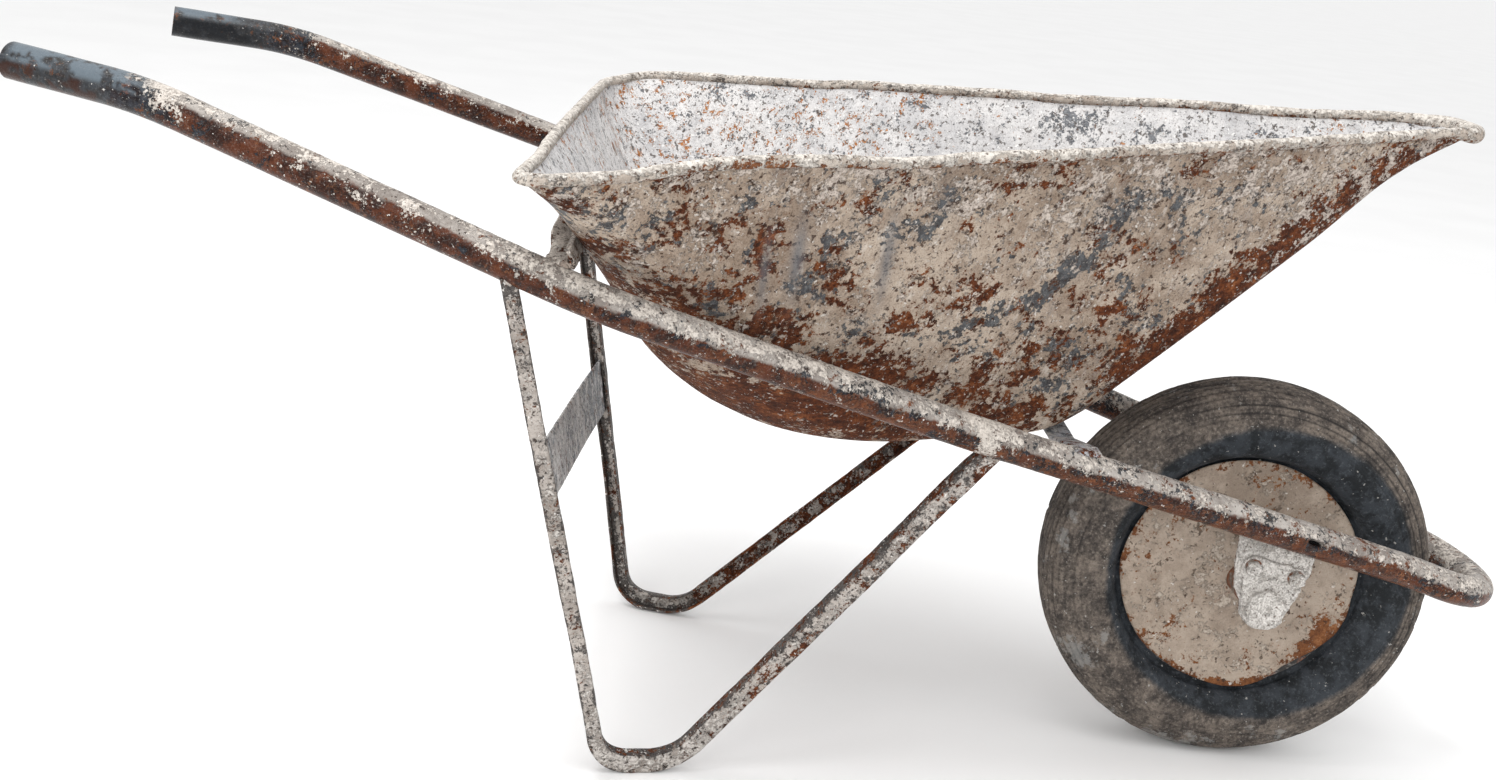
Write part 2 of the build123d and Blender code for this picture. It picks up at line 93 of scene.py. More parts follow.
# ================================================================= mesh helpers
def grid_faces(nu, nv, close_u=False, close_v=False, flip=False, base=0):
    iu = np.arange(nu if close_u else nu - 1)
    iv = np.arange(nv if close_v else nv - 1)
    a, b = np.meshgrid(iu, iv, indexing="ij")
    a2, b2 = (a + 1) % nu, (b + 1) % nv
    q = np.stack([a * nv + b, a2 * nv + b, a2 * nv + b2, a * nv + b2], -1).reshape(-1, 4)
    if flip:
        q = q[:, ::-1]
    return (q + base).tolist()


def fan(ring, centre, flip=False):
    n = len(ring)
    out = []
    for k in range(n):
        a, b = ring[k], ring[(k + 1) % n]
        out.append([b, a, centre] if flip else [a, b, centre])
    return out


def make(name, verts, faces, mats, body, replaces=(), attrs=None, smooth=True, face_mat=None, sharp=None, shift=True):
    """A mesh piece from points in millimetres in the model's own x."""
    v = np.array(verts, float).reshape(-1, 3).copy()
    if shift:
        v[:, 0] -= XC
    v /= 1000.0
    me = bpy.data.meshes.new(name)
    me.from_pydata(v.tolist(), [], faces)
    me.validate()
    if not isinstance(mats, (list, tuple)):
        mats = [mats]
    for m in mats:
        me.materials.append(m)
    if face_mat is not None:
        me.polygons.foreach_set("material_index", np.asarray(face_mat, np.int32))
    me.polygons.foreach_set("use_smooth", np.full(len(me.polygons), smooth))
    for key, val in (attrs or {}).items():
        a = me.attributes.new(key, "FLOAT", "POINT")
        a.data.foreach_set("value", np.asarray(val, np.float32).ravel())
    me.update()
    ob = bpy.data.objects.new(name, me)
    bpy.context.scene.collection.objects.link(ob)
    if sharp is not None:
        me.set_sharp_from_angle(angle=math.radians(sharp))
    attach(ob, body)
    for nme in ([replaces] if isinstance(replaces, str) else replaces):
        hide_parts(nme)
    return ob


def outward(ob):
    """Makes a closed mesh's faces point outwards."""
    import bmesh
    bm = bmesh.new()
    bm.from_mesh(ob.data)
    bmesh.ops.recalc_face_normals(bm, faces=bm.faces)
    bm.to_mesh(ob.data)
    bm.free()
    return ob


def fillet_path(pts, radii, step, closed=False, arc_step=None):
    """Points along straight runs joined by tangent arcs."""
    P = [np.array(p, float) for p in pts]
    n = len(P)
    arc_step = arc_step or step
    segs = []
    idx = range(n) if closed else range(1, n - 1)
    ends = {}
    for j, i in enumerate(idx):
        p, a, b = P[i], P[(i - 1) % n], P[(i + 1) % n]
        u, w = unit(a - p), unit(b - p)
        th = math.acos(float(np.clip(u @ w, -1, 1)))
        r = radii[j]
        t = r / math.tan(th / 2)
        c = p + unit(u + w) * (r / math.sin(th / 2))
        s, e = p + u * t, p + w * t
        ang = math.pi - th
        m = max(3, int(math.ceil(ang * r / arc_step)) + 1)
        v0 = s - c
        ax = unit(np.cross(s - c, e - c))
        arc = []
        for k in range(m):
            q = ang * k / (m - 1)
            arc.append(c + v0 * math.cos(q) + np.cross(ax, v0) * math.sin(q))
        ends[i] = (s, e, arc)
    out = []
    if closed:
        order = list(range(n))
        for i in order:
            s, e, arc = ends[i]
            out.extend(arc)
            nxt = ends[(i + 1) % n][0]
            L = np.linalg.norm(nxt - e)
            m = max(1, int(L / step))
            out.extend([e + (nxt - e) * k / m for k in range(1, m)])
        return np.array(out)
    cur = P[0]
    out.append(cur)
    for i in range(1, n - 1):
        s, e, arc = ends[i]
        L = np.linalg.norm(s - cur)
        m = max(1, int(L / step))
        out.extend([cur + (s - cur) * k / m for k in range(1, m)])
        out.extend(arc)
        cur = arc[-1]
    L = np.linalg.norm(P[-1] - cur)
    m = max(1, int(L / step))
    out.extend([cur + (P[-1] - cur) * k / m for k in range(1, m + 1)])
    return np.array(out)


def tangents(P, closed=False):
    if closed:
        T = np.roll(P, -1, 0) - np.roll(P, 1, 0)
    else:
        T = np.gradient(P, axis=0)
    return unit(T)


def transport(P, T, n0, closed=False):
    """Frames that twist as little as they can."""
    N = np.zeros_like(P)
    n = unit(np.array(n0, float) - T[0] * float(np.dot(n0, T[0])))
    N[0] = n
    for i in range(1, len(P)):
        n = n - T[i] * float(n @ T[i])
        n = n / np.linalg.norm(n)
        N[i] = n
    return N, np.cross(T, N)


def vertex_normals(G, close_u=False, close_v=False):
    if close_u:
        du = np.roll(G, -1, 0) - np.roll(G, 1, 0)
    else:
        du = np.gradient(G, axis=0)
    if close_v:
        dv = np.roll(G, -1, 1) - np.roll(G, 1, 1)
    else:
        dv = np.gradient(G, axis=1)
    return unit(np.cross(du, dv))


# ================================================================= materials
class Mat:
    def __init__(s, name):
        s.m = bpy.data.materials.new(name)
        s.m.use_nodes = True
        s.n, s.l = s.m.node_tree.nodes, s.m.node_tree.links
        s.n.clear()
        s.out = s.n.new("ShaderNodeOutputMaterial")
        s.b = s.n.new("ShaderNodeBsdfPrincipled")
        s.l.new(s.b.outputs[0], s.out.inputs[0])
        s.co = s.n.new("ShaderNodeTexCoord").outputs["Object"]

    def put(s, sock, v):
        if isinstance(v, bpy.types.NodeSocket):
            s.l.new(v, sock)
        else:
            sock.default_value = v

    def math(s, op, a, b=0.0, c=None, clamp=False):
        x = s.n.new("ShaderNodeMath")
        x.operation = op
        x.use_clamp = clamp
        s.put(x.inputs[0], a)
        s.put(x.inputs[1], b)
        if c is not None:
            s.put(x.inputs[2], c)
        return x.outputs[0]

    def vec(s, op, a, b):
        x = s.n.new("ShaderNodeVectorMath")
        x.operation = op
        s.put(x.inputs[0], a)
        s.put(x.inputs[1], b)
        return x.outputs[0]

    def noise(s, scale, detail=6.0, rough=0.6, dist=0.0, off=0.0, squash=None, lac=2.0):
        v = s.co
        if squash:
            v = s.vec("MULTIPLY", v, squash)
        if off:
            v = s.vec("ADD", v, (off, off * 0.7, -off * 1.3))
        x = s.n.new("ShaderNodeTexNoise")
        s.l.new(v, x.inputs["Vector"])
        x.inputs["Scale"].default_value = scale
        x.inputs["Detail"].default_value = detail
        x.inputs["Roughness"].default_value = rough
        x.inputs["Lacunarity"].default_value = lac
        x.inputs["Distortion"].default_value = dist
        return x.outputs[0]

    def attr(s, name):
        x = s.n.new("ShaderNodeAttribute")
        x.attribute_name = name
        return x.outputs["Fac"]

    def step(s, v, lo, hi, a=0.0, b=1.0):
        x = s.n.new("ShaderNodeMapRange")
        x.interpolation_type = "SMOOTHSTEP"
        s.put(x.inputs[0], v)
        x.inputs[1].default_value = lo
        x.inputs[2].default_value = hi
        x.inputs[3].default_value = a
        x.inputs[4].default_value = b
        return x.outputs[0]

    def mix(s, f, a, b, blend="MIX"):
        x = s.n.new("ShaderNodeMix")
        x.data_type = "RGBA"
        x.blend_type = blend
        s.put(x.inputs[0], f)
        s.put(x.inputs[6], a)
        s.put(x.inputs[7], b)
        return x.outputs[2]

    def ramp(s, f, stops, mode="LINEAR"):
        x = s.n.new("ShaderNodeValToRGB")
        x.color_ramp.interpolation = mode
        s.put(x.inputs[0], f)
        e = x.color_ramp.elements
        while len(e) < len(stops):
            e.new(0.5)
        for k, (p, c) in enumerate(stops):
            e[k].position = p
            e[k].color = c
        return x.outputs[0]

    def bump(s, height, dist=0.001, strength=1.0, prev=None):
        x = s.n.new("ShaderNodeBump")
        x.inputs["Strength"].default_value = strength
        x.inputs["Distance"].default_value = dist
        s.put(x.inputs["Height"], height)
        if prev is not None:
            s.l.new(prev, x.inputs["Normal"])
        return x.outputs[0]


RUST = [(0.36, rgb(42, 20, 11)), (0.46, rgb(68, 33, 16)), (0.54, rgb(98, 51, 24)), (0.66, rgb(146, 90, 52))]


def worn(name, light, shade, dark, dark2, rust=RUST, spot=rgb(70, 50, 42), film=None, rough=.82, seed=0.0,
         dark_z=2.4, rust_z=2.4, film_z=2.0, spot_t=0.66, spot_scale=150.0, patch=34.0, fine=1.0, gain=3.4,
         dark_rough=0.5, bump=1.0, streak=0.0, specular=0.16, under=None, under_rough=0.42, grit=0.55, white=rgb(214, 208, 201), white_t=0.66):
    """Old paint under cement film: a pale film, patches of old paint, rust, specks and runs.
    The vertex masks dark, rust, film and under say where each is likely; two sizes of noise give the ragged, gritty edge.
    A z of 2.4 leaves about one per cent covered where the mask is nought; each 0.1 of mask takes gain / 10 off it."""
    s = Mat(name)
    SIG = 0.040

    def ragged(scale, off, key, z, amount=1.0):
        n = s.math("MULTIPLY", s.noise(scale, 12, 0.72, off=off, dist=0.2), 0.64)
        n = s.math("ADD", n, s.math("MULTIPLY", s.noise(scale * 5.5, 7, 0.66, off=off + 0.5), 0.36))
        m = s.math("ADD", n, s.math("MULTIPLY", s.attr(key), gain * amount * SIG))
        t = 0.5 + SIG * z
        return m, t

    big = s.noise(7.0, 5, 0.6, off=seed + 1.0)
    mid = s.noise(38.0 * fine, 10, 0.72, off=seed + 2.0)
    small = s.noise(260.0 * fine, 6, 0.7, off=seed + 3.0)
    tiny = s.noise(720.0, 3, 0.6, off=seed + 3.5)
    base = s.mix(s.step(s.math("ADD", s.math("MULTIPLY", big, 0.45), s.math("MULTIPLY", mid, 0.55)), 0.41, 0.59), shade, light)
    # a second base colour where the under mask says: on the frame tube, brown paint darkened as painted shade on the
    # lower side
    if under is not None:
        ua = s.math("ADD", s.attr("under"), s.math("MULTIPLY", s.math("SUBTRACT", mid, 0.5), 1.6))
        um = s.step(ua, 0.30, 0.70)
        base = s.mix(um, base, s.mix(s.step(mid, 0.40, 0.60), under[0], under[1]))
    # runs down the wall
    if streak:
        run = s.noise(1.0, 6, 0.62, off=seed + 4.0, squash=(70.0, 70.0, 7.0))
        base = s.mix(s.math("MULTIPLY", s.step(run, 0.54, 0.68), streak), base, rgb(104, 98, 98))
        run2 = s.noise(1.0, 5, 0.6, off=seed + 9.0, squash=(110.0, 110.0, 10.0))
        base = s.mix(s.math("MULTIPLY", s.step(run2, 0.56, 0.70), streak), base, white)
    # old dark paint showing through; on the legs the same layer also lays painted shade
    dm, dt = ragged(patch, seed + 5.0, "dark", dark_z)
    dmask = s.step(dm, dt - 0.003, dt + 0.012)
    dcol = s.mix(s.step(s.noise(90.0 * fine, 6, 0.7, off=seed + 6.0), 0.42, 0.60), dark, dark2)
    col = s.mix(s.math("MULTIPLY", dmask, 0.92), base, dcol)
    # rust
    rm, rt = ragged(patch * 1.25, seed + 7.0, "rust", rust_z)
    rmask = s.step(rm, rt - 0.002, rt + 0.010)
    halo = s.step(rm, rt - 0.022, rt + 0.002)
    rcol = s.ramp(s.math("ADD", s.math("MULTIPLY", s.noise(60.0 * fine, 8, 0.7, off=seed + 8.0), 0.6), s.math("MULTIPLY", small, 0.4)), rust)
    col = s.mix(s.math("MULTIPLY", halo, 0.42), col, rgb(134, 96, 68))
    col = s.mix(rmask, col, rcol)
    # thick pale film and splashes on top
    fmask = 0.0
    if film is not None:
        fm, ft = ragged(52.0 * fine, seed + 11.0, "film", film_z)
        fmask = s.step(fm, ft - 0.006, ft + 0.02)
        fcol = s.mix(s.step(small, 0.38, 0.60), s.mix(0.5, film, rgb(112, 102, 94)), film)
        col = s.mix(s.math("MULTIPLY", fmask, 0.94), col, fcol)
    # specks
    sp = s.noise(spot_scale, 3, 0.55, off=seed + 12.0)
    smask = s.step(sp, spot_t - 0.035, spot_t)
    col = s.mix(s.math("MULTIPLY", smask, 0.85), col, spot)
    sp2 = s.noise(spot_scale * 2.4, 3, 0.6, off=seed + 14.0)
    smask2 = s.step(sp2, spot_t - 0.005, spot_t + 0.03)
    col = s.mix(s.math("MULTIPLY", smask2, 0.7), col, s.mix(0.5, spot, rgb(46, 46, 52)))
    wp = s.noise(spot_scale * 1.3, 4, 0.6, off=seed + 13.0)
    wmask = s.step(wp, white_t - 0.03, white_t)
    col = s.mix(s.math("MULTIPLY", wmask, 0.8), col, white)
    # sand grain in the value
    g = s.math("ADD", s.math("MULTIPLY", tiny, 0.55), s.math("MULTIPLY", small, 0.45))
    col = s.mix(s.math("MULTIPLY", s.step(g, 0.50, 0.38), grit), col, s.mix(1.0, col, rgb(150, 142, 138), "MULTIPLY"))
    col = s.mix(s.math("MULTIPLY", s.math("MULTIPLY", s.step(g, 0.51, 0.64), s.math("SUBTRACT", 1.0, s.math("MULTIPLY", rmask, 0.75))), grit * 0.6), col, s.mix(0.45, col, white))
    s.l.new(col, s.b.inputs["Base Color"])
    # finish
    r = s.math("ADD", rough - 0.06, s.math("MULTIPLY", small, 0.12))
    bare = s.math("MULTIPLY", dmask, s.math("SUBTRACT", 1.0, rmask))
    r = s.math("SUBTRACT", r, s.math("MULTIPLY", bare, rough - dark_rough), clamp=True)
    if under is not None:
        keep = s.math("MULTIPLY", um, s.math("SUBTRACT", 1.0, fmask))
        keep = s.math("MULTIPLY", keep, s.math("SUBTRACT", 1.0, dmask))
        r = s.math("SUBTRACT", r, s.math("MULTIPLY", keep, rough - under_rough), clamp=True)
    s.l.new(r, s.b.inputs["Roughness"])
    s.b.inputs["Specular IOR Level"].default_value = specular
    h = s.math("MULTIPLY", s.math("SUBTRACT", 1.0, dmask), 0.30)
    h = s.math("ADD", h, s.math("MULTIPLY", rmask, s.math("ADD", -0.35, s.math("MULTIPLY", small, 0.5))))
    h = s.math("ADD", h, s.math("MULTIPLY", mid, 0.6))
    h = s.math("ADD", h, s.math("MULTIPLY", small, 0.45))
    h = s.math("ADD", h, s.math("MULTIPLY", tiny, 0.16))
    if film is not None:
        h = s.math("ADD", h, s.math("MULTIPLY", fmask, 0.6))
    h = s.math("ADD", h, s.math("MULTIPLY", wmask, 0.25))
    h = s.math("SUBTRACT", h, s.math("MULTIPLY", smask, 0.25))
    s.l.new(s.bump(h, 0.0016 * bump, 1.0), s.b.inputs["Normal"])
    return s.m


# ================================================================= the tray
RIM_REAR, RIM_LIP = (-118.4, 368.4, 558.2), (704.0, 35.8, 643.0)
RIM_K = (RIM_LIP[2] - RIM_REAR[2]) / (RIM_LIP[0] - RIM_REAR[0])
RIM_S = (RIM_LIP[1] - RIM_REAR[1]) / (RIM_LIP[0] - RIM_REAR[0])


def rim_z(x):
    return RIM_REAR[2] + RIM_K * (x - RIM_REAR[0])


def rim_y(x):
    return RIM_REAR[1] + RIM_S * (x - RIM_REAR[0])


# how far the right-hand rolled edge stands above or below a straight line, mm
SAG_X = [-118, -81, -48, -25, 2, 21, 44, 78, 116, 136, 156, 197, 238, 276, 315, 384, 454, 532, 613, 688, 704]
SAG_Z = [-0.7, -0.5, 0.6, 2.6, 4.9, 5.8, 6.0, 5.0, 2.7, 0.3, -1.0, -0.6, 0.0, -1.1, -1.8, -1.1, -1.5, -1.3, -0.6, 0.3, 0.3]


def rim_wave(P):
    """Moves the rolled edge and the top of the walls: waves, knocks, the near rear corner flared, the far one pushed in."""
    out = rim_wave0(P)
    x, y, z = P[..., 0], P[..., 1], P[..., 2]
    fade = (1 - np.clip((rim_z(x) - z) / 45.0, 0, 1)) ** 2
    w = sstep(-y, 240, 362) * sstep(-x, 60, 114) * fade
    out[..., 0] -= 8.0 * w
    # the rear edge is bowed a little, and its far corner sits further forward
    bow = np.interp(y, [-368, -270, -185, -70, 48, 180, 294, 368], [0, 3.2, 4, 2, -2, -6.5, -11, -17])
    out[..., 0] -= bow * sstep(-x, 60, 112) * fade
    return out


def rim_wave0(P):
    """Dents and waves of the top edge: an offset for points near the rim, fading down the wall."""
    x, y, z = P[..., 0], P[..., 1], P[..., 2]
    depth = np.clip((rim_z(x) - z) / 55.0, 0, 1)
    fade = (1 - depth) ** 2
    right = sstep(-y, 10, 60)
    dz = np.interp(x, SAG_X, SAG_Z) * right
    q = np.stack([x, np.zeros_like(x), np.zeros_like(x)], -1)
    left = (fbm(q, 95.0, 3, 5) - 0.5) * 5.0 * (1 - right)
    w = sstep(x, -116, -80) * sstep(-x, -703, -670)
    dz = (dz + left * w) * fade
    dy = (fbm(q + 400, 80.0, 3, 8) - 0.5) * 5.0 * w * fade * np.sign(y)
    # the knock in the right-hand edge
    knock = np.exp(-((x - 134.0) / 13.0) ** 2) * right * fade
    dy = dy + 3.0 * knock
    return np.stack([np.zeros_like(x), dy, dz], -1)


REAR_N, SLOPE_N = (0.886, 0.463), (-0.704, 0.710)


def arc_pt(deg):
    a = math.radians(deg)
    return (114.0 + 160.0 * math.cos(a), 459.0 + 160.0 * math.sin(a))


STATIONS = [
    ((-115.6, 552.6), (699.5, 637.4), 0.0, 17.0, 27.0),
    ((-97.5, 518.0), (650.0, 607.0), 0.0, 42.0, 28.0),
    ((-65.0, 456.0), (560.0, 517.8), 0.0, 74.0, 32.0),
    ((-27.8, 384.9), (470.0, 428.6), 2.0, 90.0, 36.0),
    (arc_pt(223.7), (420.0, 379.0), 7.0, 110.0, 38.0),
    (arc_pt(239.8), (385.0, 344.1), 14.0, 112.0, 40.0),
    (arc_pt(255.8), (358.0, 326.5), 26.0, 106.0, 36.0),
    (arc_pt(275.0), (331.0, 318.2), 46.0, 90.0, 28.0),
]


def station_ring(k, counts):
    """The outer face's rounded trapezium at one station, from the rear middle round the left side."""
    (rx, rz), (fx, fz), side, rr, fr = STATIONS[k]
    rl = max(rr, 78.0)                                   # the far rear corner is knocked rounder than the near one
    yr = rim_y(rx) - 0.405 * (rim_z(rx) - rz) - side + 1.0
    yf = rim_y(fx) - 0.35 * (rim_z(fx) - fz) - side * 0.55 + 1.0
    A, B, C, D = np.array([rx, -yr, rz]), np.array([rx, yr, rz]), np.array([fx, yf, fz]), np.array([fx, -yf, fz])
    n_rear, n_c, n_side, n_fc, n_front = counts

    def corner(p, a, b, r, m):
        u, w = unit(a - p), unit(b - p)
        th = math.acos(float(u @ w))
        t = r / math.tan(th / 2)
        t = min(t, 0.48 * np.linalg.norm(a - p), 0.48 * np.linalg.norm(b - p))
        r = t * math.tan(th / 2)
        c = p + unit(u + w) * (r / math.sin(th / 2))
        s, e = p + u * t, p + w * t
        ax = unit(np.cross(s - c, e - c))
        ang = math.pi - th
        return [c + (s - c) * math.cos(ang * q / m) + np.cross(ax, s - c) * math.sin(ang * q / m) for q in range(m + 1)]

    cb = corner(B, A, C, rl, n_c)
    cc = corner(C, B, D, fr, n_fc)
    cd = corner(D, C, A, fr, n_fc)
    ca = corner(A, D, B, rr, n_c)

    def run(a, b, m):
        return [a + (b - a) * q / m for q in range(1, m)]

    return np.array(cb + run(cb[-1], cc[0], n_side) + cc + run(cc[-1], cd[0], n_front) + cd + run(cd[-1], ca[0], n_side) + ca + run(ca[-1], cb[0], n_rear))


def hermite(Y, t, q):
    """Smooth curve through Y at parameters t without overshoot (Y: stations x points x 3)."""
    h = np.diff(t)[:, None, None]
    d = np.diff(Y, axis=0) / h
    m = np.zeros_like(Y)
    m[0], m[-1] = d[0], d[-1]
    w1, w2 = 2 * h[1:] + h[:-1], h[1:] + 2 * h[:-1]
    same = np.sign(d[1:]) * np.sign(d[:-1]) > 0
    with np.errstate(divide="ignore", invalid="ignore"):
        hm = (w1 + w2) / (w1 / d[:-1] + w2 / d[1:])
    m[1:-1] = np.where(same, hm, 0.0)
    i = np.clip(np.searchsorted(t, q, side="right") - 1, 0, len(t) - 2)
    s = ((q - t[i]) / (t[i + 1] - t[i]))[:, None, None]
    hh = (t[i + 1] - t[i])[:, None, None]
    return (Y[i] * (2 * s ** 3 - 3 * s ** 2 + 1) + m[i] * hh * (s ** 3 - 2 * s ** 2 + s)
            + Y[i + 1] * (-2 * s ** 3 + 3 * s ** 2) + m[i + 1] * hh * (s ** 3 - s ** 2))


F = 1.0
counts = (int(110 * F), int(26 * F), int(190 * F), int(14 * F), int(14 * F))
rings = np.array([station_ring(k, counts) for k in range(8)])
tt = np.array([0, 0.13, 0.36, 0.62, 0.76, 0.87, 0.95, 1.0])
q = np.concatenate([np.linspace(0, 1, int(112 * F))])
wall = hermite(rings, tt, q)
# carry the wall up into the rolled edge
up = unit(wall[0] - wall[1])
top = wall[0] + up * 4.5
wall = np.concatenate([top[None], wall], 0)
nring = wall.shape[1]
# the bottom, drawn in to a point with a slight crown
centre = wall[-1].mean(0)
nb = int(26 * F)
edge_dir = wall[-1] - wall[-2]
floor_rows = []
bottom_n = unit(np.cross(np.array([331.0 - 127.9, 0, 318.2 - 299.6]), np.array([0, 1.0, 0])))
if bottom_n[2] > 0:
    bottom_n = -bottom_n
for k in range(1, nb):
    s = 1 - k / nb
    floor_rows.append(centre + (wall[-1] - centre) * s + bottom_n * 1.6 * (1 - s ** 2))
outer = np.concatenate([wall, np.array(floor_rows)], 0)
tip = centre + bottom_n * 1.6
nrow = outer.shape[0]


def dent(P):
    """Hand-made sheet metal: shallow hollows, knocks and a crease up the front slope."""
    n = (fbm(P, 170.0, 2, 21) - 0.5) * 5.0 + (fbm(P, 62.0, 2, 22) - 0.5) * 1.7 + (fbm(P, 19.0, 2, 23) - 0.5) * 0.45
    x, y, z = P[..., 0], P[..., 1], P[..., 2]
    right = sstep(-y, 5, 40)
    n = n + 2.4 * np.exp(-(((x - 165) / 13) ** 2 + ((z - 500) / 60) ** 2)) * right
    n = n + 1.6 * np.exp(-(((x - 92) / 9) ** 2 + ((z - 500) / 48) ** 2)) * right
    n = n - 1.8 * np.exp(-(((x - 300) / 34) ** 2 + ((z - 462) / 20) ** 2)) * right
    n = n + 2.6 * np.exp(-(((x - 268) / 7) ** 2)) * right * sstep(z, 360, 420) * sstep(-z, -575, -520) * 0.35
    return n


nor = vertex_normals(outer, close_v=True)
side_dir = outer - np.array([200.0, 0, 480.0])
sgn = np.sign((nor * side_dir).sum(-1).mean())
nor = nor * sgn
depth_below = np.clip((rim_z(outer[..., 0]) - outer[..., 2]) / 30.0, 0, 1)
inside_amt = (np.abs(dent(outer)) * 0 + dent(outer)) * depth_below
# keep clear of the cross member, the bridge and the tubes: dents go inwards there
inside_amt = np.minimum(inside_amt, 0.2) - 0.9 * depth_below
outer2 = outer + nor * inside_amt[..., None] + rim_wave(outer)
nor2 = vertex_normals(outer2, close_v=True) * sgn
inner = outer2 - nor2 * 2.0
inner[0] = outer2[0] - nor2[1] * 2.0
tip_in = tip - bottom_n * 0.9
V_out = outer2.reshape(-1, 3)
V_in = inner.reshape(-1, 3)
no = len(V_out)
tray_v = np.concatenate([V_out, V_in, [tip - bottom_n * 0.9], [tip - bottom_n * 2.9]], 0)
f_out = grid_faces(nrow, nring, close_v=True)
f_in = grid_faces(nrow, nring, close_v=True, flip=True, base=no)
last_o = [(nrow - 1) * nring + k for k in range(nring)]
last_i = [no + a for a in last_o]
f_tip = fan(last_o, 2 * no) + fan(last_i, 2 * no + 1, flip=True)
f_top = [[k, no + k, no + (k + 1) % nring, (k + 1) % nring] for k in range(nring)]
tray_f = f_out + f_in + f_tip + f_top
face_mat = [0] * len(f_out) + [1] * len(f_in) + [0] * nring + [1] * nring + [0] * nring

# ---- masks on the tray, in the model's x, z (mm): centre, half sizes, strength
DARK = [(-58, 524, 22, 26, 0.8), (-27, 543, 22, 18, 0.5), (-54, 562, 15, 9, 0.5), (30, 503, 11, 27, 0.7), (56, 508, 9, 23, 0.6), (69, 473, 24, 16, 0.4), (200, 534, 11, 28, 0.7), (333, 503, 30, 16, 0.9), (330, 533, 34, 26, 0.5), (370, 557, 26, 30, 0.8), (359, 580, 34, 10, 0.5), (400, 572, 22, 10, 0.6), (334, 425, 45, 27, 0.5), (353, 373, 55, 28, 0.6), (389, 476, 36, 36, 0.45), (429, 526, 36, 27, 0.45), (502, 567, 27, 18, 0.5), (478, 517, 23, 23, 0.4), (404, 355, 28, 19, 0.5), (14, 472, 23, 15, 0.5)]
RUSTY = [(-49, 496, 22, 13, 1.0), (5, 481, 46, 11, 1.0), (30, 468, 47, 12, 1.0), (80, 450, 56, 11, 0.8), (143, 422, 50, 17, 0.7), (222, 376, 52, 22, 0.8), (182, 446, 50, 25, 0.5), (254, 465, 19, 38, 0.9), (212, 474, 33, 25, 0.6), (268, 380, 18, 40, 1.0), (285, 348, 27, 14, 1.0), (332, 435, 36, 12, 0.9), (307, 420, 18, 9, 1.0), (279, 572, 33, 5, 1.2), (165, 559, 11, 20, 0.8), (139, 545, 16, 8, 0.9), (24, 516, 5, 17, 1.0), (66, 521, 8, 19, 0.9), (56, 512, 5, 19, 0.9), (119, 514, 12, 12, 0.8), (3, 569, 44, 7, 0.8), (-3, 556, 30, 12, 0.5), (-87, 533, 10, 36, 0.7), (-71, 505, 15, 15, 0.9), (375, 456, 27, 9, 0.9), (389, 476, 18, 18, 0.5), (474, 435, 57, 9, 0.6), (433, 398, 38, 9, 0.7), (548, 529, 57, 9, 0.7), (118, 473, 16, 16, 0.6)]
SMEAR = [(87, 500, 5.5, 34, 1.0), (161, 503, 5.0, 38, 0.9), (62, 488, 3.5, 30, 0.8), (200, 560, 9, 16, 0.4)]


def blobs(x, z, items):
    out = np.zeros_like(x)
    for cx, cz, hx, hz, s in items:
        out = np.maximum(out, s * np.exp(-((x - cx) / hx) ** 2 - ((z - cz) / hz) ** 2))
    return out


def tube_line(x):
    """Height of the frame tube's centre beside the tray."""
    return np.interp(x, [-435.9, -59.5, 258.2, 704.1], [568.6, 459.5, 353.8, 232.5])


def tray_masks(P):
    x, y, z = P[:, 0], P[:, 1], P[:, 2]
    right = y < 0
    xm = np.where(right, x, 455 - x * 0.92)            # the other side has its own pattern
    zm = np.where(right, z, z - 8)
    flank = sstep(np.abs(y), 25, 60)
    dark = blobs(xm, zm, DARK) * flank
    rust = blobs(xm, zm, RUSTY) * flank
    # the diagonal smear of old blue paint
    t = ((x - 322) * 0.62 + (z - 486) * 0.78)
    w = ((x - 322) * -0.78 + (z - 486) * 0.62)
    sm = 1.5 * np.exp(-(t / 42) ** 2 - ((w + 0.004 * t * t) / 8.5) ** 2) * right
    dark = np.maximum(dark, sm)
    # rust in the band above the tubes and on everything below them
    above = z - tube_line(x)
    band = np.exp(-np.clip(above - 16, 0, None) / 26.0) * sstep(-np.abs(x - 110), -330, -250)
    rust = np.maximum(rust, 0.86 * band)
    low = sstep(-above, -12, 6)
    rust = np.maximum(rust, low * (0.74 + 1.1 * np.exp(-((x - 100) / 105) ** 2 - ((z - 352) / 26) ** 2)))
    # the front slope's edges
    fx = np.interp(z, [318.2, 326.5, 344.1, 379.0, 428.6, 517.8, 607.0, 637.4], [331.0, 358.0, 385.0, 420.0, 470.0, 560.0, 650.0, 699.5])
    edge = np.exp(-(np.clip(fx - 14 - x, 0, None) / 46.0) ** 1.7) * sstep(z, 350, 400) * np.interp(z, [340, 420, 520, 600, 640], [0.85, 1.05, 1.05, 1.0, 0.62])
    rust = np.maximum(rust, 1.5 * edge * (0.50 + 1.1 * fbm(P, 46.0, 3, 3)))
    rust = np.maximum(rust, 0.45 * sstep(x, 300, 560) * (1 - flank))
    # rear wall: rusty low down
    rear = sstep(-x, 30, 80)
    rust = np.maximum(rust, 0.35 * rear + 0.5 * rear * sstep(-z, -500, -430))
    dark = np.maximum(dark, 0.45 * rear * fbm(P, 60, 2, 9) * 1.6)
    # grime everywhere, heavier lower down and towards the rear
    grime = 0.17 + 0.26 * sstep(-z, -520, -400) + 0.06 * sstep(-x, -200, 0)
    rust = np.maximum(rust, grime + 0.7 * (fbm(P, 60.0, 3, 12) - 0.5))
    dark = np.maximum(dark, 0.17 + 0.8 * (fbm(P, 85.0, 3, 14) - 0.5) + 0.16 * np.exp(-((x - 380) / 130) ** 2))
    film = 0.25 + 0.5 * sstep(z, 470, 600)
    smear = blobs(x, z, SMEAR) * right
    return dark, rust, film, smear


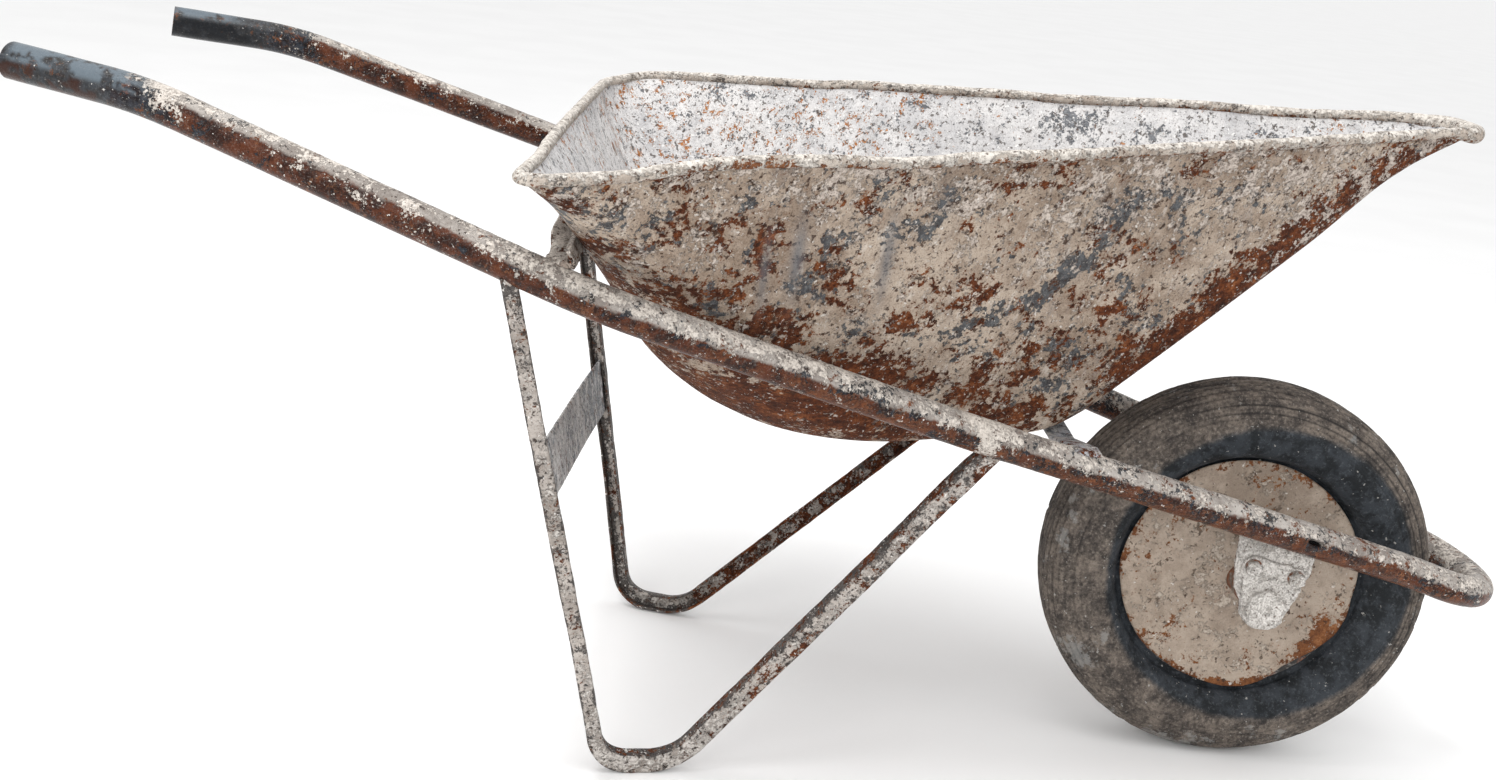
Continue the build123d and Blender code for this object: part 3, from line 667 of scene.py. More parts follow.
d_m, r_m, f_m, s_m = tray_masks(V_out)
di = np.zeros(no)
x_i, y_i, z_i = V_in[:, 0], V_in[:, 1], V_in[:, 2]
r_i = 0.10 + 0.45 * sstep(-z_i, -430, -330) + 0.34 * sstep(fbm(V_in, 120, 2, 41), 0.48, 0.62)
d_i = 0.2 + 0.9 * blobs(x_i, z_i, [(380, 588, 26, 14, 1.0), (452, 590, 14, 9, 0.9), (20, 560, 40, 10, 0.3), (560, 600, 16, 8, 0.8)]) + 0.5 * sstep(-z_i, -420, -330)
attrs = {
    "dark": np.concatenate([d_m, d_i, [0.2, 0.4]]),
    "rust": np.concatenate([r_m, r_i, [0.8, 0.6]]),
    "film": np.concatenate([f_m, 0.6 + 0 * di, [0.2, 0.5]]),
    "smear": np.concatenate([s_m, di, [0.0, 0.0]]),
}

tray_out_mat = worn("tray_outside", rgb(175, 160, 145), rgb(134, 117, 102), rgb(38, 43, 50), rgb(76, 81, 86), spot=rgb(58, 37, 26),
                    streak=0.34, seed=3.0, dark_z=2.3, rust_z=2.3, spot_t=0.645, spot_scale=170.0, patch=26.0, film=rgb(194, 182, 172), film_z=2.6)
# soft grey-blue smears over the outside film
_nt = tray_out_mat.node_tree
_b = [n for n in _nt.nodes if n.type == "BSDF_PRINCIPLED"][0]
_src = _b.inputs["Base Color"].links[0].from_socket
_at = _nt.nodes.new("ShaderNodeAttribute"); _at.attribute_name = "smear"
_mx = _nt.nodes.new("ShaderNodeMix"); _mx.data_type = "RGBA"
_mm = _nt.nodes.new("ShaderNodeMath"); _mm.operation = "MULTIPLY"; _mm.inputs[1].default_value = 0.85
_nt.links.new(_at.outputs["Fac"], _mm.inputs[0])
_nt.links.new(_mm.outputs[0], _mx.inputs[0])
_nt.links.new(_src, _mx.inputs[6])
_mx.inputs[7].default_value = rgb(98, 100, 104)
_nt.links.new(_mx.outputs[2], _b.inputs["Base Color"])

tray_in_mat = worn("tray_inside", rgb(214, 212, 211), rgb(186, 185, 186), rgb(74, 78, 84), rgb(112, 115, 120), spot=rgb(92, 85, 80),
                   rust=[(0.30, rgb(120, 72, 40)), (0.45, rgb(156, 98, 54)), (0.56, rgb(184, 126, 78)), (0.70, rgb(200, 158, 116))],
                   streak=0.16, seed=23.0, dark_z=2.35, rust_z=2.8, spot_t=0.64, spot_scale=190.0, patch=70.0, white=rgb(236, 235, 233), white_t=0.62, grit=0.45)
tray = make("tray_pan", tray_v, tray_f, [tray_out_mat, tray_in_mat], "frame", "tray_shell", attrs, face_mat=face_mat, sharp=60)
outward(tray)

# ================================================================= the rolled edge
rim_corner = [RIM_LIP, RIM_REAR, (RIM_REAR[0], -RIM_REAR[1], RIM_REAR[2]), (RIM_LIP[0], -RIM_LIP[1], RIM_LIP[2])]
bead_line = fillet_path(rim_corner, [27, 78, 17, 27], 3.0, closed=True, arc_step=1.6)
T = tangents(bead_line, closed=True)
m = 28
N = unit(np.cross(T, np.array([[0, 0, 1.0]])))           # sideways
N = N - T * (N * T).sum(-1, keepdims=True)
N = unit(N)
B = unit(np.cross(N, T))
ang = np.linspace(0, 2 * math.pi, m, endpoint=False)
ring = np.cos(ang)[None, :, None] * N[:, None, :] + np.sin(ang)[None, :, None] * B[:, None, :]
base_g = bead_line[:, None, :] + ring * 5.2
lump = (fbm(base_g, 26.0, 3, 61) - 0.5) * 1.5 + (fbm(base_g, 7.0, 2, 62) - 0.5) * 0.8
topside = np.clip(ring[..., 2], 0, 1)
lump = np.clip(lump, -0.9, 0.7)
# the wire inside it follows the same waves
wire_g = bead_line[:, None, :] + ring * (3.15 + 0.12 * (fbm(base_g, 9.0, 2, 63) - 0.5))[..., None] + rim_wave(np.repeat(bead_line[:, None, :], m, 1))
wire_g = wire_g - np.array([0, 0, 1.0]) * 3.4 * sstep(bead_line[:, 0], 668, 702)[:, None, None]
wire_f = grid_faces(len(bead_line), m, True, True)
G = bead_line[:, None, :] + ring * (5.0 + lump[..., None] * (0.6 + 0.5 * topside[..., None])) + rim_wave(np.repeat(bead_line[:, None, :], m, 1))
bx, by = G[..., 0], G[..., 1]
# the rounded lump of mortar over the lip
lip = sstep(bead_line[:, 0], 668, 702)[:, None, None]
G = G + ring * (3.6 * lip) * (0.8 + 0.4 * fbm(G, 14.0, 2, 66)[..., None]) - np.array([0, 0, 1.0]) * 3.4 * lip
G[..., 2] = np.minimum(G[..., 2], 648.3)
right = sstep(-by, 5, 40)
under = np.clip(-ring[..., 2], 0, 1)
b_rust = 0.35 * under + 0.9 * np.exp(-((bx - 35) / 42) ** 2) * right * (0.4 + 0.6 * np.clip(-ring[..., 1], 0, 1)) + 0.5 * under * sstep(bx, 60, 140)
b_dark = 0.3 + 0.25 * under
b_film = 0.75 * topside + 0.1
bead_mat = worn("rolled_edge", rgb(196, 187, 177), rgb(158, 146, 135), rgb(70, 66, 64), rgb(102, 94, 88), spot=rgb(78, 56, 44),
                rust=[(0.30, rgb(70, 42, 29)), (0.45, rgb(104, 62, 40)), (0.56, rgb(134, 88, 56)), (0.70, rgb(164, 120, 88))],
                seed=41.0, dark_z=2.7, rust_z=2.4, spot_t=0.66, spot_scale=210.0, patch=60.0, film=rgb(214, 208, 200), film_z=1.0, bump=1.2, white=rgb(230, 226, 220), grit=0.5)
bead = make("rolled_edge", G.reshape(-1, 3), grid_faces(len(bead_line), m, True, True), bead_mat, "frame", "rim_bead",
            {"rust": b_rust, "dark": b_dark, "film": b_film})
outward(bead)


# ================================================================= the frame tube
LEFT = [(-548.8, 200.9, 577.8), (-435.9, 236.6, 568.6), (-59.5, 308.1, 459.5), (258.2, 189.9, 353.8), (704.1, 80.0, 232.5), (801.9, 76.0, 204.3)]
route = LEFT + [(x, -y, z) for x, y, z in reversed(LEFT)]
line = fillet_path(route, [300, 180, 500, 150, 74, 74, 150, 500, 180, 300], 2.6, arc_step=2.6)
T = tangents(line)
N, B = transport(line, T, (0, 0, 1))
# keep the ring's first point on top all the way
upv = np.array([0, 0, 1.0])
Nu = unit(upv - T * (T @ upv)[:, None])
Bu = np.cross(T, Nu)
m = 56
ang = np.linspace(0, 2 * math.pi, m, endpoint=False)
ring = np.cos(ang)[None, :, None] * Nu[:, None, :] + np.sin(ang)[None, :, None] * Bu[:, None, :]
surf = line[:, None, :] + ring * 15.0
sx, sy, sz = surf[..., 0], surf[..., 1], surf[..., 2]
on_top = ring[..., 2]
right = sstep(-sy, 10, 40)
# flaking crust: thresholded lumps, thickest on top between the legs and the wheel
flake = sstep(fbm(surf, 7.5, 4, 71), 0.50, 0.60)
fine = fbm(surf, 5.0, 2, 72)
where = 0.25 + 0.75 * sstep(on_top, -0.35, 0.5)
along = np.interp(sx, [-560, -470, -430, -300, -120, 300, 560, 820], [0.05, 0.12, 0.5, 0.45, 0.7, 0.9, 0.7, 0.8])
d = 0.30 * flake * where * along + (fine - 0.5) * 0.22 * along + (fbm(surf, 60.0, 2, 73) - 0.5) * 0.5


def spot3(c, r, s=1.0):
    return s * np.exp(-(((surf - np.array(c)) / np.array(r)) ** 2).sum(-1))


lumps = 0.5 + fbm(surf, 7.0, 3, 74)
d = d + lumps * spot3((282, -196, 355), (9, 22, 18), 2.0)              # mortar collar over the right tube
d = d + lumps * spot3((262, -196, 366), (14, 20, 8), 1.0)
d = d + lumps * spot3((-414, -250, 572), (16, 12, 12), 1.0)             # mortar patch on the right handle
d = d + lumps * spot3((-300, -268, 533), (10, 12, 10), 0.8)
d = d + lumps * spot3((-215, -285, 514), (9, 10, 12), 0.8)
d = d + lumps * spot3((640, -100, 257), (16, 14, 7), 1.4)               # crumbs of rust above the bracket
d = d + lumps * spot3((362, 154, 340), (22, 18, 12), 0.9)
d = d + lumps * spot3((362, -154, 340), (22, 18, 12), 0.9)
slot = np.exp(-(((sx - 597.0) / 7.5) ** 4)) * np.exp(-((((sz - (263.6 - (sx - 597) * 0.3)) / 2.6)) ** 4)) * (ring[..., 1] < -0.2) * (sy < -40)
d = d - 6.5 * slot
ends = sstep(np.minimum(np.arange(len(line)), len(line) - 1 - np.arange(len(line))), 0, 6)[:, None]
d = np.clip(d, -8, 2.2) * (0.15 + 0.85 * ends)
# clear of the ground box: the loop's nose stays inside the overall length
d = np.minimum(d, 2.2)
G = line[:, None, :] + ring * (15.0 + d)[..., None]
G[..., 0] = np.clip(G[..., 0], -553.3, 816.8)
n_line = len(line)
# rolled lips at the open ends, then the bore
depth = 34


def bore(i0, step_dir):
    rows = []
    for k, (off, r) in enumerate([(0.15, 14.6), (0.0, 14.2), (0.0, 13.6), (0.3, 13.1)]):
        rows.append(line[i0] + T[i0] * (off * step_dir) + ring[i0] * r)
    for k in range(1, depth):
        i = i0 + step_dir * k
        rows.append(line[i] + ring[i] * 13.0)
    return np.array(rows)


b0, b1 = bore(0, 1), bore(n_line - 1, -1)
verts = np.concatenate([G.reshape(-1, 3), b0.reshape(-1, 3), b1.reshape(-1, 3)], 0)
o0 = n_line * m
o1 = o0 + len(b0) * m
faces = grid_faces(n_line, m, False, True)
faces += grid_faces(len(b0), m, False, True, flip=True, base=o0)
faces += grid_faces(len(b1), m, False, True, base=o1)
for k in range(m):
    faces.append([k, (k + 1) % m, o0 + (k + 1) % m, o0 + k][::-1])
    e = (n_line - 1) * m
    faces.append([e + k, e + (k + 1) % m, o1 + (k + 1) % m, o1 + k])
c0, c1 = len(verts), len(verts) + 1
verts = np.concatenate([verts, [line[depth - 1]], [line[n_line - depth]]], 0)
faces += fan([o0 + (len(b0) - 1) * m + k for k in range(m)], c0, flip=True)
faces += fan([o1 + (len(b1) - 1) * m + k for k in range(m)], c1)


def tube_masks(P, top):
    x, y, z = P[:, 0], P[:, 1], P[:, 2]
    rightm = (y < 0).astype(float)
    low = sstep(-top, -0.30, 0.55)
    # glossy brown paint on the handles, brown underneath everywhere else; the underside's brown is also kept dark as
    # painted shade
    edge = np.interp(x, [-560, -440, -200, -90, 60, 300, 520, 820], [0.75, 0.72, 0.60, 0.14, 0.10, 0.16, 0.30, 0.16])
    under = sstep(edge - top, -0.35, 0.45)
    grips = sstep(-x, 425, 480)
    under = under * (1 - 0.85 * grips)
    rust = np.interp(x, [-560, -480, -430, -260, -120, 60, 200, 420, 560, 700, 820], [0.0, 0.02, 0.15, 0.18, 0.20, 0.42, 0.58, 0.56, 0.66, 0.58, 0.48]) * (0.45 + 0.55 * low)
    dark = np.interp(x, [-560, -470, -430, -380, -200, -120, 60, 200, 420, 560, 820], [2.1, 2.0, 0.85, 0.28, 0.12, 0.16, 0.28, 0.42, 0.42, 0.40, 0.32])
    dark = dark + 0.15 * sstep(-np.abs(top + 0.1), -0.5, 0.0)
    # the white crust lies on top; it is laid on more thickly along the top as painted highlight too
    film = np.interp(x, [-560, -480, -440, -400, -300, -200, -120, -60, 120, 330, 560, 700, 820], [-0.5, -0.05, 0.10, 0.25, 0.35, 0.50, 0.85, 1.0, 0.9, 0.75, 0.55, 0.60, 0.85])
    film = film * (0.05 + 0.95 * sstep(top, -0.30, 0.55)) * 0.80
    # a pale strip along the handles' tops: crust and painted highlight
    film = film + 0.45 * sstep(-x, 200, 300) * sstep(x, -430, -400) * sstep(top, 0.55, 0.9)
    patch_ = np.exp(-(((x + 414) / 15) ** 2)) * rightm * sstep(top, -0.4, 0.2)
    film = film + 0.9 * patch_ + 0.35 * np.exp(-(((x + 300) / 7) ** 2)) * rightm * sstep(top, -0.3, 0.3) + 0.35 * np.exp(-(((x + 215) / 7) ** 2)) * rightm * sstep(top, -0.6, 0.0)
    film = np.where(x < -455, film - 0.5, film)
    # mortar collar over the right-hand tube beside the front leg
    film = film + 0.8 * np.exp(-(((x - 272) / 18) ** 2)) * rightm
    return dark, rust, film, under


topv = np.concatenate([on_top.ravel(), ring[:len(b0)].reshape(-1, 3)[:, 2], ring[:len(b1)].reshape(-1, 3)[:, 2], [0, 0]])
dk, ru, fi, un = tube_masks(verts, topv)
inb = np.zeros(len(verts), bool); inb[o0:] = True
dk[inb], ru[inb], fi[inb], un[inb] = 0.3, 0.9, -0.5, 1.0
# the slot's colour mask: near-black inside the slot as painted shade
sl = np.concatenate([slot.ravel(), np.zeros(len(verts) - n_line * m)])
# painted reflection of the sky: a pale blue-grey strip along the top of the grips
side_top = np.where(verts[:, 1] < 0, 0.28, 0.62)
sky_reflection_end = np.where(verts[:, 1] < 0, 432.0, 488.0)
sky_reflection_mask = sstep(topv - side_top, -0.22, 0.14) * sstep(-verts[:, 0] - sky_reflection_end, -14, 14) * sstep(verts[:, 0], -552, -540)
sky_reflection_mask = sky_reflection_mask * sstep(fbm(verts, 9.0, 4, 83), 0.34, 0.46)
sky_reflection_mask[inb] = 0.0
# black paint low on the grips, kept to their lower sides where it is painted shade as well; browner on the near one
black_paint_and_shade = sstep(side_top - topv, -0.05, 0.30) * sstep(-verts[:, 0], 440, 480) * np.where(verts[:, 1] < 0, 0.35, 0.92)
black_paint_and_shade = black_paint_and_shade * (0.55 + 0.45 * sstep(fbm(verts, 12.0, 3, 87), 0.40, 0.56))
brown = sstep(side_top - topv, -0.05, 0.30) * sstep(-verts[:, 0], 440, 480) * (verts[:, 1] < 0) * sstep(fbm(verts, 11.0, 4, 89), 0.42, 0.56)
black_paint_and_shade[inb] = 0.0
brown[inb] = 0.0


def add_mask_colour(mat, name, colour, amount=1.0, rough=None):
    """Lays a colour over a material where a vertex mask says so."""
    nt = mat.node_tree
    b = [n for n in nt.nodes if n.type == "BSDF_PRINCIPLED"][0]
    src = b.inputs["Base Color"].links[0].from_socket
    at = nt.nodes.new("ShaderNodeAttribute"); at.attribute_name = name
    mm = nt.nodes.new("ShaderNodeMath"); mm.operation = "MULTIPLY"; mm.inputs[1].default_value = amount; mm.use_clamp = True
    nt.links.new(at.outputs["Fac"], mm.inputs[0])
    mx = nt.nodes.new("ShaderNodeMix"); mx.data_type = "RGBA"
    nt.links.new(mm.outputs[0], mx.inputs[0]); nt.links.new(src, mx.inputs[6])
    mx.inputs[7].default_value = colour
    nt.links.new(mx.outputs[2], b.inputs["Base Color"])


# the dark under browns below are brown paint and painted shade on the tube's lower side
tube_mat = worn("frame_paint_worn", rgb(172, 166, 160), rgb(126, 118, 112), rgb(13, 16, 20), rgb(40, 47, 55), spot=rgb(48, 31, 24),
                rust=[(0.34, rgb(44, 22, 13)), (0.45, rgb(72, 37, 21)), (0.56, rgb(106, 60, 33)), (0.70, rgb(150, 98, 62))],
                film=rgb(208, 200, 191), film_z=2.05, rough=0.50, seed=61.0, dark_z=2.3, rust_z=2.3, spot_t=0.67, spot_scale=240.0,
                patch=44.0, fine=1.5, dark_rough=0.27, under=(rgb(36, 16, 9), rgb(84, 43, 23)), under_rough=0.30, specular=0.14, white=rgb(236, 232, 227), grit=0.28, bump=0.42, white_t=0.69)
# black paint and painted shade on the grips' lower sides
add_mask_colour(tube_mat, "black_paint_and_shade", rgb(17, 19, 23), 0.95)
add_mask_colour(tube_mat, "brown", rgb(54, 29, 19), 0.85)
# painted reflection of the sky along the grips' tops
add_mask_colour(tube_mat, "sky", rgb(97, 107, 115), 0.9)
# painted shade: near-black inside the slot
add_mask_colour(tube_mat, "hole", rgb(10, 8, 8), 1.2)
tube = make("bent_frame_tube", verts, faces, tube_mat, "frame", "frame_tube", {"dark": dk, "rust": ru, "film": fi, "under": un, "hole": sl, "sky": sky_reflection_mask, "black_paint_and_shade": black_paint_and_shade, "brown": brown}, sharp=50)
outward(tube)

# ================================================================= legs
def tube_centre(x):
    for a, b in zip(LEFT, LEFT[1:]):
        if a[0] <= x <= b[0]:
            t = (x - a[0]) / (b[0] - a[0])
            return tuple(a[k] + t * (b[k] - a[k]) for k in range(3))


def plane_y(a, b, c):
    (x1, y1, z1), (x2, y2, z2), (x3, y3, z3) = a, b, c
    det = (x2 - x1) * (z3 - z1) - (x3 - x1) * (z2 - z1)
    k1 = ((y2 - y1) * (z3 - z1) - (y3 - y1) * (z2 - z1)) / det
    k2 = ((x2 - x1) * (y3 - y1) - (x3 - x1) * (y2 - y1)) / det
    return y1 - k1 * x1 - k2 * z1, k1, k2


def rounded(points, r, m=5):
    """A closed outline with its corners rounded by r (r may be a list)."""
    P = [np.array(p, float) for p in points]
    n = len(P)
    out = []
    for i in range(n):
        p, a, b = P[i], P[i - 1], P[(i + 1) % n]
        u, w = unit(a - p), unit(b - p)
        ri = r[i] if isinstance(r, (list, tuple)) else r
        th = math.acos(float(np.clip(u @ w, -1, 1)))
        t = min(ri / math.tan(th / 2), 0.45 * np.linalg.norm(a - p), 0.45 * np.linalg.norm(b - p))
        s, e = p + u * t, p + w * t
        for k in range(m + 1):
            f = k / m
            out.append((1 - f) ** 2 * s + 2 * f * (1 - f) * p + f ** 2 * e)
    return np.array(out)


def densify(P, gap):
    out = []
    n = len(P)
    for i in range(n):
        a, b = P[i], P[(i + 1) % n]
        k = max(1, int(np.linalg.norm(b - a) / gap))
        out.extend([a + (b - a) * q / k for q in range(k)])
    return np.array(out)


def extrude_rows(rows, close_ring=True):
    """Vertices and side faces for a stack of closed rings; the ends are left open."""
    n, k = rows.shape[:2]
    V = rows.reshape(-1, 3)
    c0, c1 = rows[0].mean(0), rows[-1].mean(0)
    return V, grid_faces(n, k, False, True)


def cap_faces(ring_idx, flip=False):
    return [list(ring_idx)[::-1] if flip else list(ring_idx)]


leg_mat = worn("leg_paint_worn", rgb(186, 178, 171), rgb(146, 138, 131), rgb(40, 37, 38), rgb(76, 71, 68), spot=rgb(54, 42, 36),
               film=rgb(206, 200, 194), film_z=2.0, rough=0.70, seed=81.0, dark_z=2.25, rust_z=2.5, spot_t=0.65, spot_scale=190.0,
               patch=52.0, fine=1.5, white=rgb(236, 232, 227), grit=0.4)


def leg(front_top, side, name, node):
    yr = tube_centre(-131.0)[1] + 9.0
    yf = tube_centre(front_top[0])[1] + 7.0
    k0, k1, k2 = plane_y((-131.0, yr, 466.0), (front_top[0], yf, front_top[1]), (5.0, 181.0, 8.3))
    ur = unit(np.array([-131.0 + 25.6, 466.0 - 8.3])) * 5.5
    uf = unit(np.array([front_top[0] - 41.0, front_top[1] - 8.3])) * 5.5
    pts = [(-131.0 + ur[0], 466.0 + ur[1]), (-25.6, 8.3), (41.0, 8.3), (front_top[0] + uf[0], front_top[1] + uf[1])]
    pts = [(x, k0 + k1 * x + k2 * z, z) for x, z in pts]
    n = unit(np.array([-k1, 1.0, -k2]))
    P = fillet_path(pts, [35, 52], 3.0, arc_step=2.2)
    L = np.concatenate([[0], np.cumsum(np.linalg.norm(np.diff(P, axis=0), axis=1))])
    # arms are not quite straight
    wob = np.stack([fbm(np.stack([L, 0 * L, 0 * L + 50 * side], -1), 130.0, 2, 91 + k) - 0.5 for k in range(3)], -1) * np.array([2.0, 1.2, 0.0])
    pin = sstep(np.minimum(L, L[-1] - L), 20, 90)[:, None]
    P = P + wob * pin
    T = tangents(P)
    X = unit(np.cross(n, T))
    w, f, t = 9.0, 13.0, 2.5
    prof = [(-w, 0), (w, 0), (w, -f), (w - t, -f), (w - t, -t), (-w + t, -t), (-w + t, -f), (-w, -f)]
    rad = [3.0, 3.0, 1.0, 1.0, 1.2, 1.2, 1.0, 1.0]
    prof = densify(rounded(prof, rad, 4), 2.2)
    # the flanges are squeezed towards each other along the arms by years of knocks
    fl = 1.0 + 0.10 * (fbm(np.stack([L, 0 * L, 0 * L + 9 * side], -1), 70.0, 2, 95) - 0.5)
    thin = 1 - (0.26 if side < 0 else 0.18) * sstep(-P[:, 0], 0, 40)
    u = prof[:, 0][None, :] * (fl * thin)[:, None]
    v = prof[:, 1][None, :] * np.ones_like(L)[:, None]
    # the last stretch is hammered over against the tube
    tail = np.minimum(L, L[-1] - L)
    flat = sstep(-tail, -26, 0)[:, None]
    v = v * (1 - 0.28 * flat)
    G = P[:, None, :] + u[..., None] * X[:, None, :] + v[..., None] * n
    lump = (fbm(G, 9.0, 3, 97) - 0.5) * 0.9 + (fbm(G, 34.0, 2, 98) - 0.5) * 0.9
    c = P[:, None, :] - n * 4.0
    face_n = vertex_normals(G, close_v=True)
    G = G + face_n * np.clip(lump, -0.5, 0.45)[..., None] * 0.8
    G[..., 2] = np.maximum(G[..., 2], 0.0 + 0.02)
    if side < 0:
        G[..., 1] *= -1
    nrow, k = G.shape[:2]
    V = G.reshape(-1, 3)
    faces = grid_faces(nrow, k, False, True)
    faces += cap_faces(range(k), True) + cap_faces([(nrow - 1) * k + q for q in range(k)])
    x, z = V[:, 0], V[:, 2]
    vv = np.broadcast_to(prof[:, 1][None, :], (nrow, k)).ravel()
    uu = np.broadcast_to(prof[:, 0][None, :], (nrow, k)).ravel()
    inside = sstep(-vv, 1.6, 3.5)
    front = sstep(x, 30, 70)
    up_ = sstep(z, 150, 300)
    rust = 0.18 + 0.25 * inside + 0.20 * front + 0.32 * front * sstep(uu, -3, 5) * (0.4 + 0.6 * up_)
    # dark: old paint and dark edges, plus painted shade inside the channel and on the rear arm's +u flange
    dark = 0.26 + 0.26 * front * sstep(z, 60, 160) + 0.45 * inside + 0.75 * sstep(uu, 5.5, 8.5) * (1 - front) + 0.35 * sstep(-uu, 6.5, 8.6)
    # painted shade: the far leg's rear arm is darker on its +u half
    if side > 0:
        dark = dark + 0.65 * sstep(uu, -1, 4) * (1 - front)
        rust = rust + 0.25 * front
    dark = dark + 0.6 * sstep(z, 436, 460)
    # less film inside the channel and on the +u flange, which keeps the painted shade there
    film = 0.55 * (1 - inside) * sstep(-z, -120, -20) + 0.35 * (1 - inside) * (1 - sstep(uu, 4, 8))
    ob = make(name, V, faces, leg_mat, "frame", node, {"rust": rust, "dark": dark, "film": film}, sharp=48)
    outward(ob)
    return (k0, k1, k2), n


pl_l, n_l = leg((345.0, 316.0), 1, "leg_channel_left", "leg_left")
pl_r, n_r = leg((277.0, 336.0), -1, "leg_channel_right", "leg_right")


def slab(name, node, mat, rows_fn, masks, amp=0.5, seed=0, body="frame"):
    """A piece given as a stack of closed rings, roughened along its normals."""
    G = rows_fn
    n, k = G.shape[:2]
    nn = vertex_normals(G, close_v=True)
    G = G + nn * ((fbm(G, 9.0, 3, 101 + seed) - 0.5) * 2 * amp)[..., None]
    V = G.reshape(-1, 3)
    faces = grid_faces(n, k, False, True) + cap_faces(range(k), True) + cap_faces([(n - 1) * k + q for q in range(k)])
    a = masks(V)
    ob = make(name, V, faces, mat, body, node, a, sharp=48)
    outward(ob)
    return ob


# ---- brace strap between the rear arms
def arm_point(plane, z, inward):
    k0, k1, k2 = plane
    t = (z - 8.3) / (466.0 - 8.3)
    x = -25.6 + t * (-131.0 + 25.6)
    return np.array([x, k0 + k1 * x + k2 * z - inward, z])


flip = np.array([1, -1, 1.0])
lt, ll = arm_point(pl_l, 256.0, 5.0), arm_point(pl_l, 203.0, 5.0)
rt, rl = arm_point(pl_r, 327.0, 5.0) * flip, arm_point(pl_r, 275.0, 5.0) * flip
arm_d = unit(np.array([-131.0 + 25.6, 0, 466.0 - 8.3]))
bn = unit(np.cross(arm_d, np.array([0, 1.0, 0])))
rows = []
sec = densify(rounded([(-0.5, -1.5), (0.5, -1.5), (0.5, 1.5), (-0.5, 1.5)], 0, 1), 10)
nb_ = 150
prof = [(a, -1.5) for a in np.linspace(-0.48, 0.48, 20)] + [(0.5, -0.9), (0.5, 0.9)] + [(a, 1.5) for a in np.linspace(0.48, -0.48, 20)] + [(-0.5, 0.9), (-0.5, -0.9)]
prof = np.array(prof)
for i in range(nb_):
    t = i / (nb_ - 1)
    mid = (lt + ll) / 2 * (1 - t) + (rt + rl) / 2 * t
    wv = (lt - ll) * (1 - t) + (rt - rl) * t
    bow = bn * (0.6 * math.sin(t * math.pi) + 0.5 * math.sin(t * 5.0))
    rows.append(mid + bow + prof[:, 0][:, None] * wv + prof[:, 1][:, None] * bn)
brace_mat = worn("brace_paint_worn", rgb(222, 220, 218), rgb(176, 175, 176), rgb(46, 52, 60), rgb(84, 90, 98), seed=101.0, dark_z=2.2, rust_z=2.7,
                 film=rgb(232, 229, 226), film_z=2.2, spot_t=0.65, spot_scale=190, patch=44, fine=1.5, streak=0.12)
slab("brace_strap", "leg_brace", brace_mat, np.array(rows), lambda V: {"rust": 0.10 + 0.3 * fbm(V, 50, 2, 3), "dark": 0.45 + 0.35 * sstep(V[:, 1], -20, 120), "film": 0.55 - 0.3 * sstep(V[:, 1], -20, 120)}, 0.35, 1)

# ---- rear cross member: a pressed angle with mortar on it
wall_d, wall_n = np.array([-0.463, 0, 0.886]), np.array([-0.886, 0, -0.463])
tu = np.array([-59.5 + 435.9, 0, 459.5 - 568.6]); tu = unit(tu)
tn = np.array([-tu[2], 0, tu[0]])
top_pt = np.array([-88.0, 0, tube_centre(-88.0)[2]]) + tn * 15.05
wall_pt = np.array([-118.4, 0, 558.2]) + np.array([0.886, 0, 0.463]) * -1.0 + wall_n * 0.35


def cross2(p, d, q_, e):
    det = d[0] * (-e[2]) - (-e[0]) * d[2]
    s = ((q_[0] - p[0]) * (-e[2]) - (-e[0]) * (q_[2] - p[2])) / det
    return p + d * s


a0 = cross2(top_pt, tu, wall_pt, wall_d)
a1 = cross2(top_pt + tn * 3.0, tu, wall_pt + wall_n * 3.0, wall_d)
pts = [a0, a0 - tu * 33.0, a0 - tu * 33.0 + tn * 3.0, a1, a1 + wall_d * 26.5, a1 + wall_d * 26.5 - wall_n * 3.0]
prof = rounded([(p[0], p[2]) for p in pts], [4.0, 1.2, 1.2, 2.0, 1.2, 1.2], 4)
prof = densify(prof, 2.6)
ys = np.linspace(-303.5, 303.5, 240)
G = np.zeros((len(ys), len(prof), 3))
G[..., 0] = prof[:, 0][None]
G[..., 2] = prof[:, 1][None]
G[..., 1] = ys[:, None]
# the upper flange is snipped down towards its ends
su = (G - a1) @ wall_d
cut = 1 - 0.62 * sstep(np.abs(G[..., 1]), 205, 250)
G = G + (np.clip(su - 3.0, 0, None) * (cut - 1))[..., None] * wall_d
nn = vertex_normals(G, close_v=True)
ctr = np.array([prof[:, 0].mean(), 0, prof[:, 1].mean()])
# outward test on one point of the lower flange's tip
tip_i = int(np.argmin(prof[:, 0]))
if (nn[5, tip_i] @ np.array([-1.0, 0, 0])) < 0:
    nn = -nn
uptop = np.clip(nn @ tn, 0, 1)
crust = sstep(fbm(G, 24.0, 3, 111), 0.44, 0.6) * (0.6 + fbm(G, 6.0, 2, 112))
endw = 0.35 + 0.65 * sstep(np.abs(G[..., 1]), 190, 260)
d = crust * 2.6 * endw * uptop + (fbm(G, 9.0, 3, 113) - 0.5) * 0.8
d = np.where(uptop > 0.2, d, np.minimum(d, 0.0))
G = G + nn * d[..., None]
n_, k_ = G.shape[:2]
V = G.reshape(-1, 3)
faces = grid_faces(n_, k_, False, True) + cap_faces(range(k_), True) + cap_faces([(n_ - 1) * k_ + q for q in range(k_)])
steel_mat = worn("cross_member_worn", rgb(186, 175, 164), rgb(140, 126, 116), rgb(38, 33, 31), rgb(66, 55, 49), seed=121.0, dark_z=2.0, rust_z=2.0,
                 film=rgb(212, 204, 195), film_z=1.7, spot_t=0.66, spot_scale=170, patch=50, fine=1.5, bump=1.3)
upf = uptop.reshape(-1)
crossm = make("rear_cross_angle", V, faces, steel_mat, "frame", "rear_cross_member", {"rust": 0.55 - 0.3 * upf, "dark": 0.5 - 0.2 * upf, "film": 0.1 + 0.8 * upf}, sharp=50)
outward(crossm)

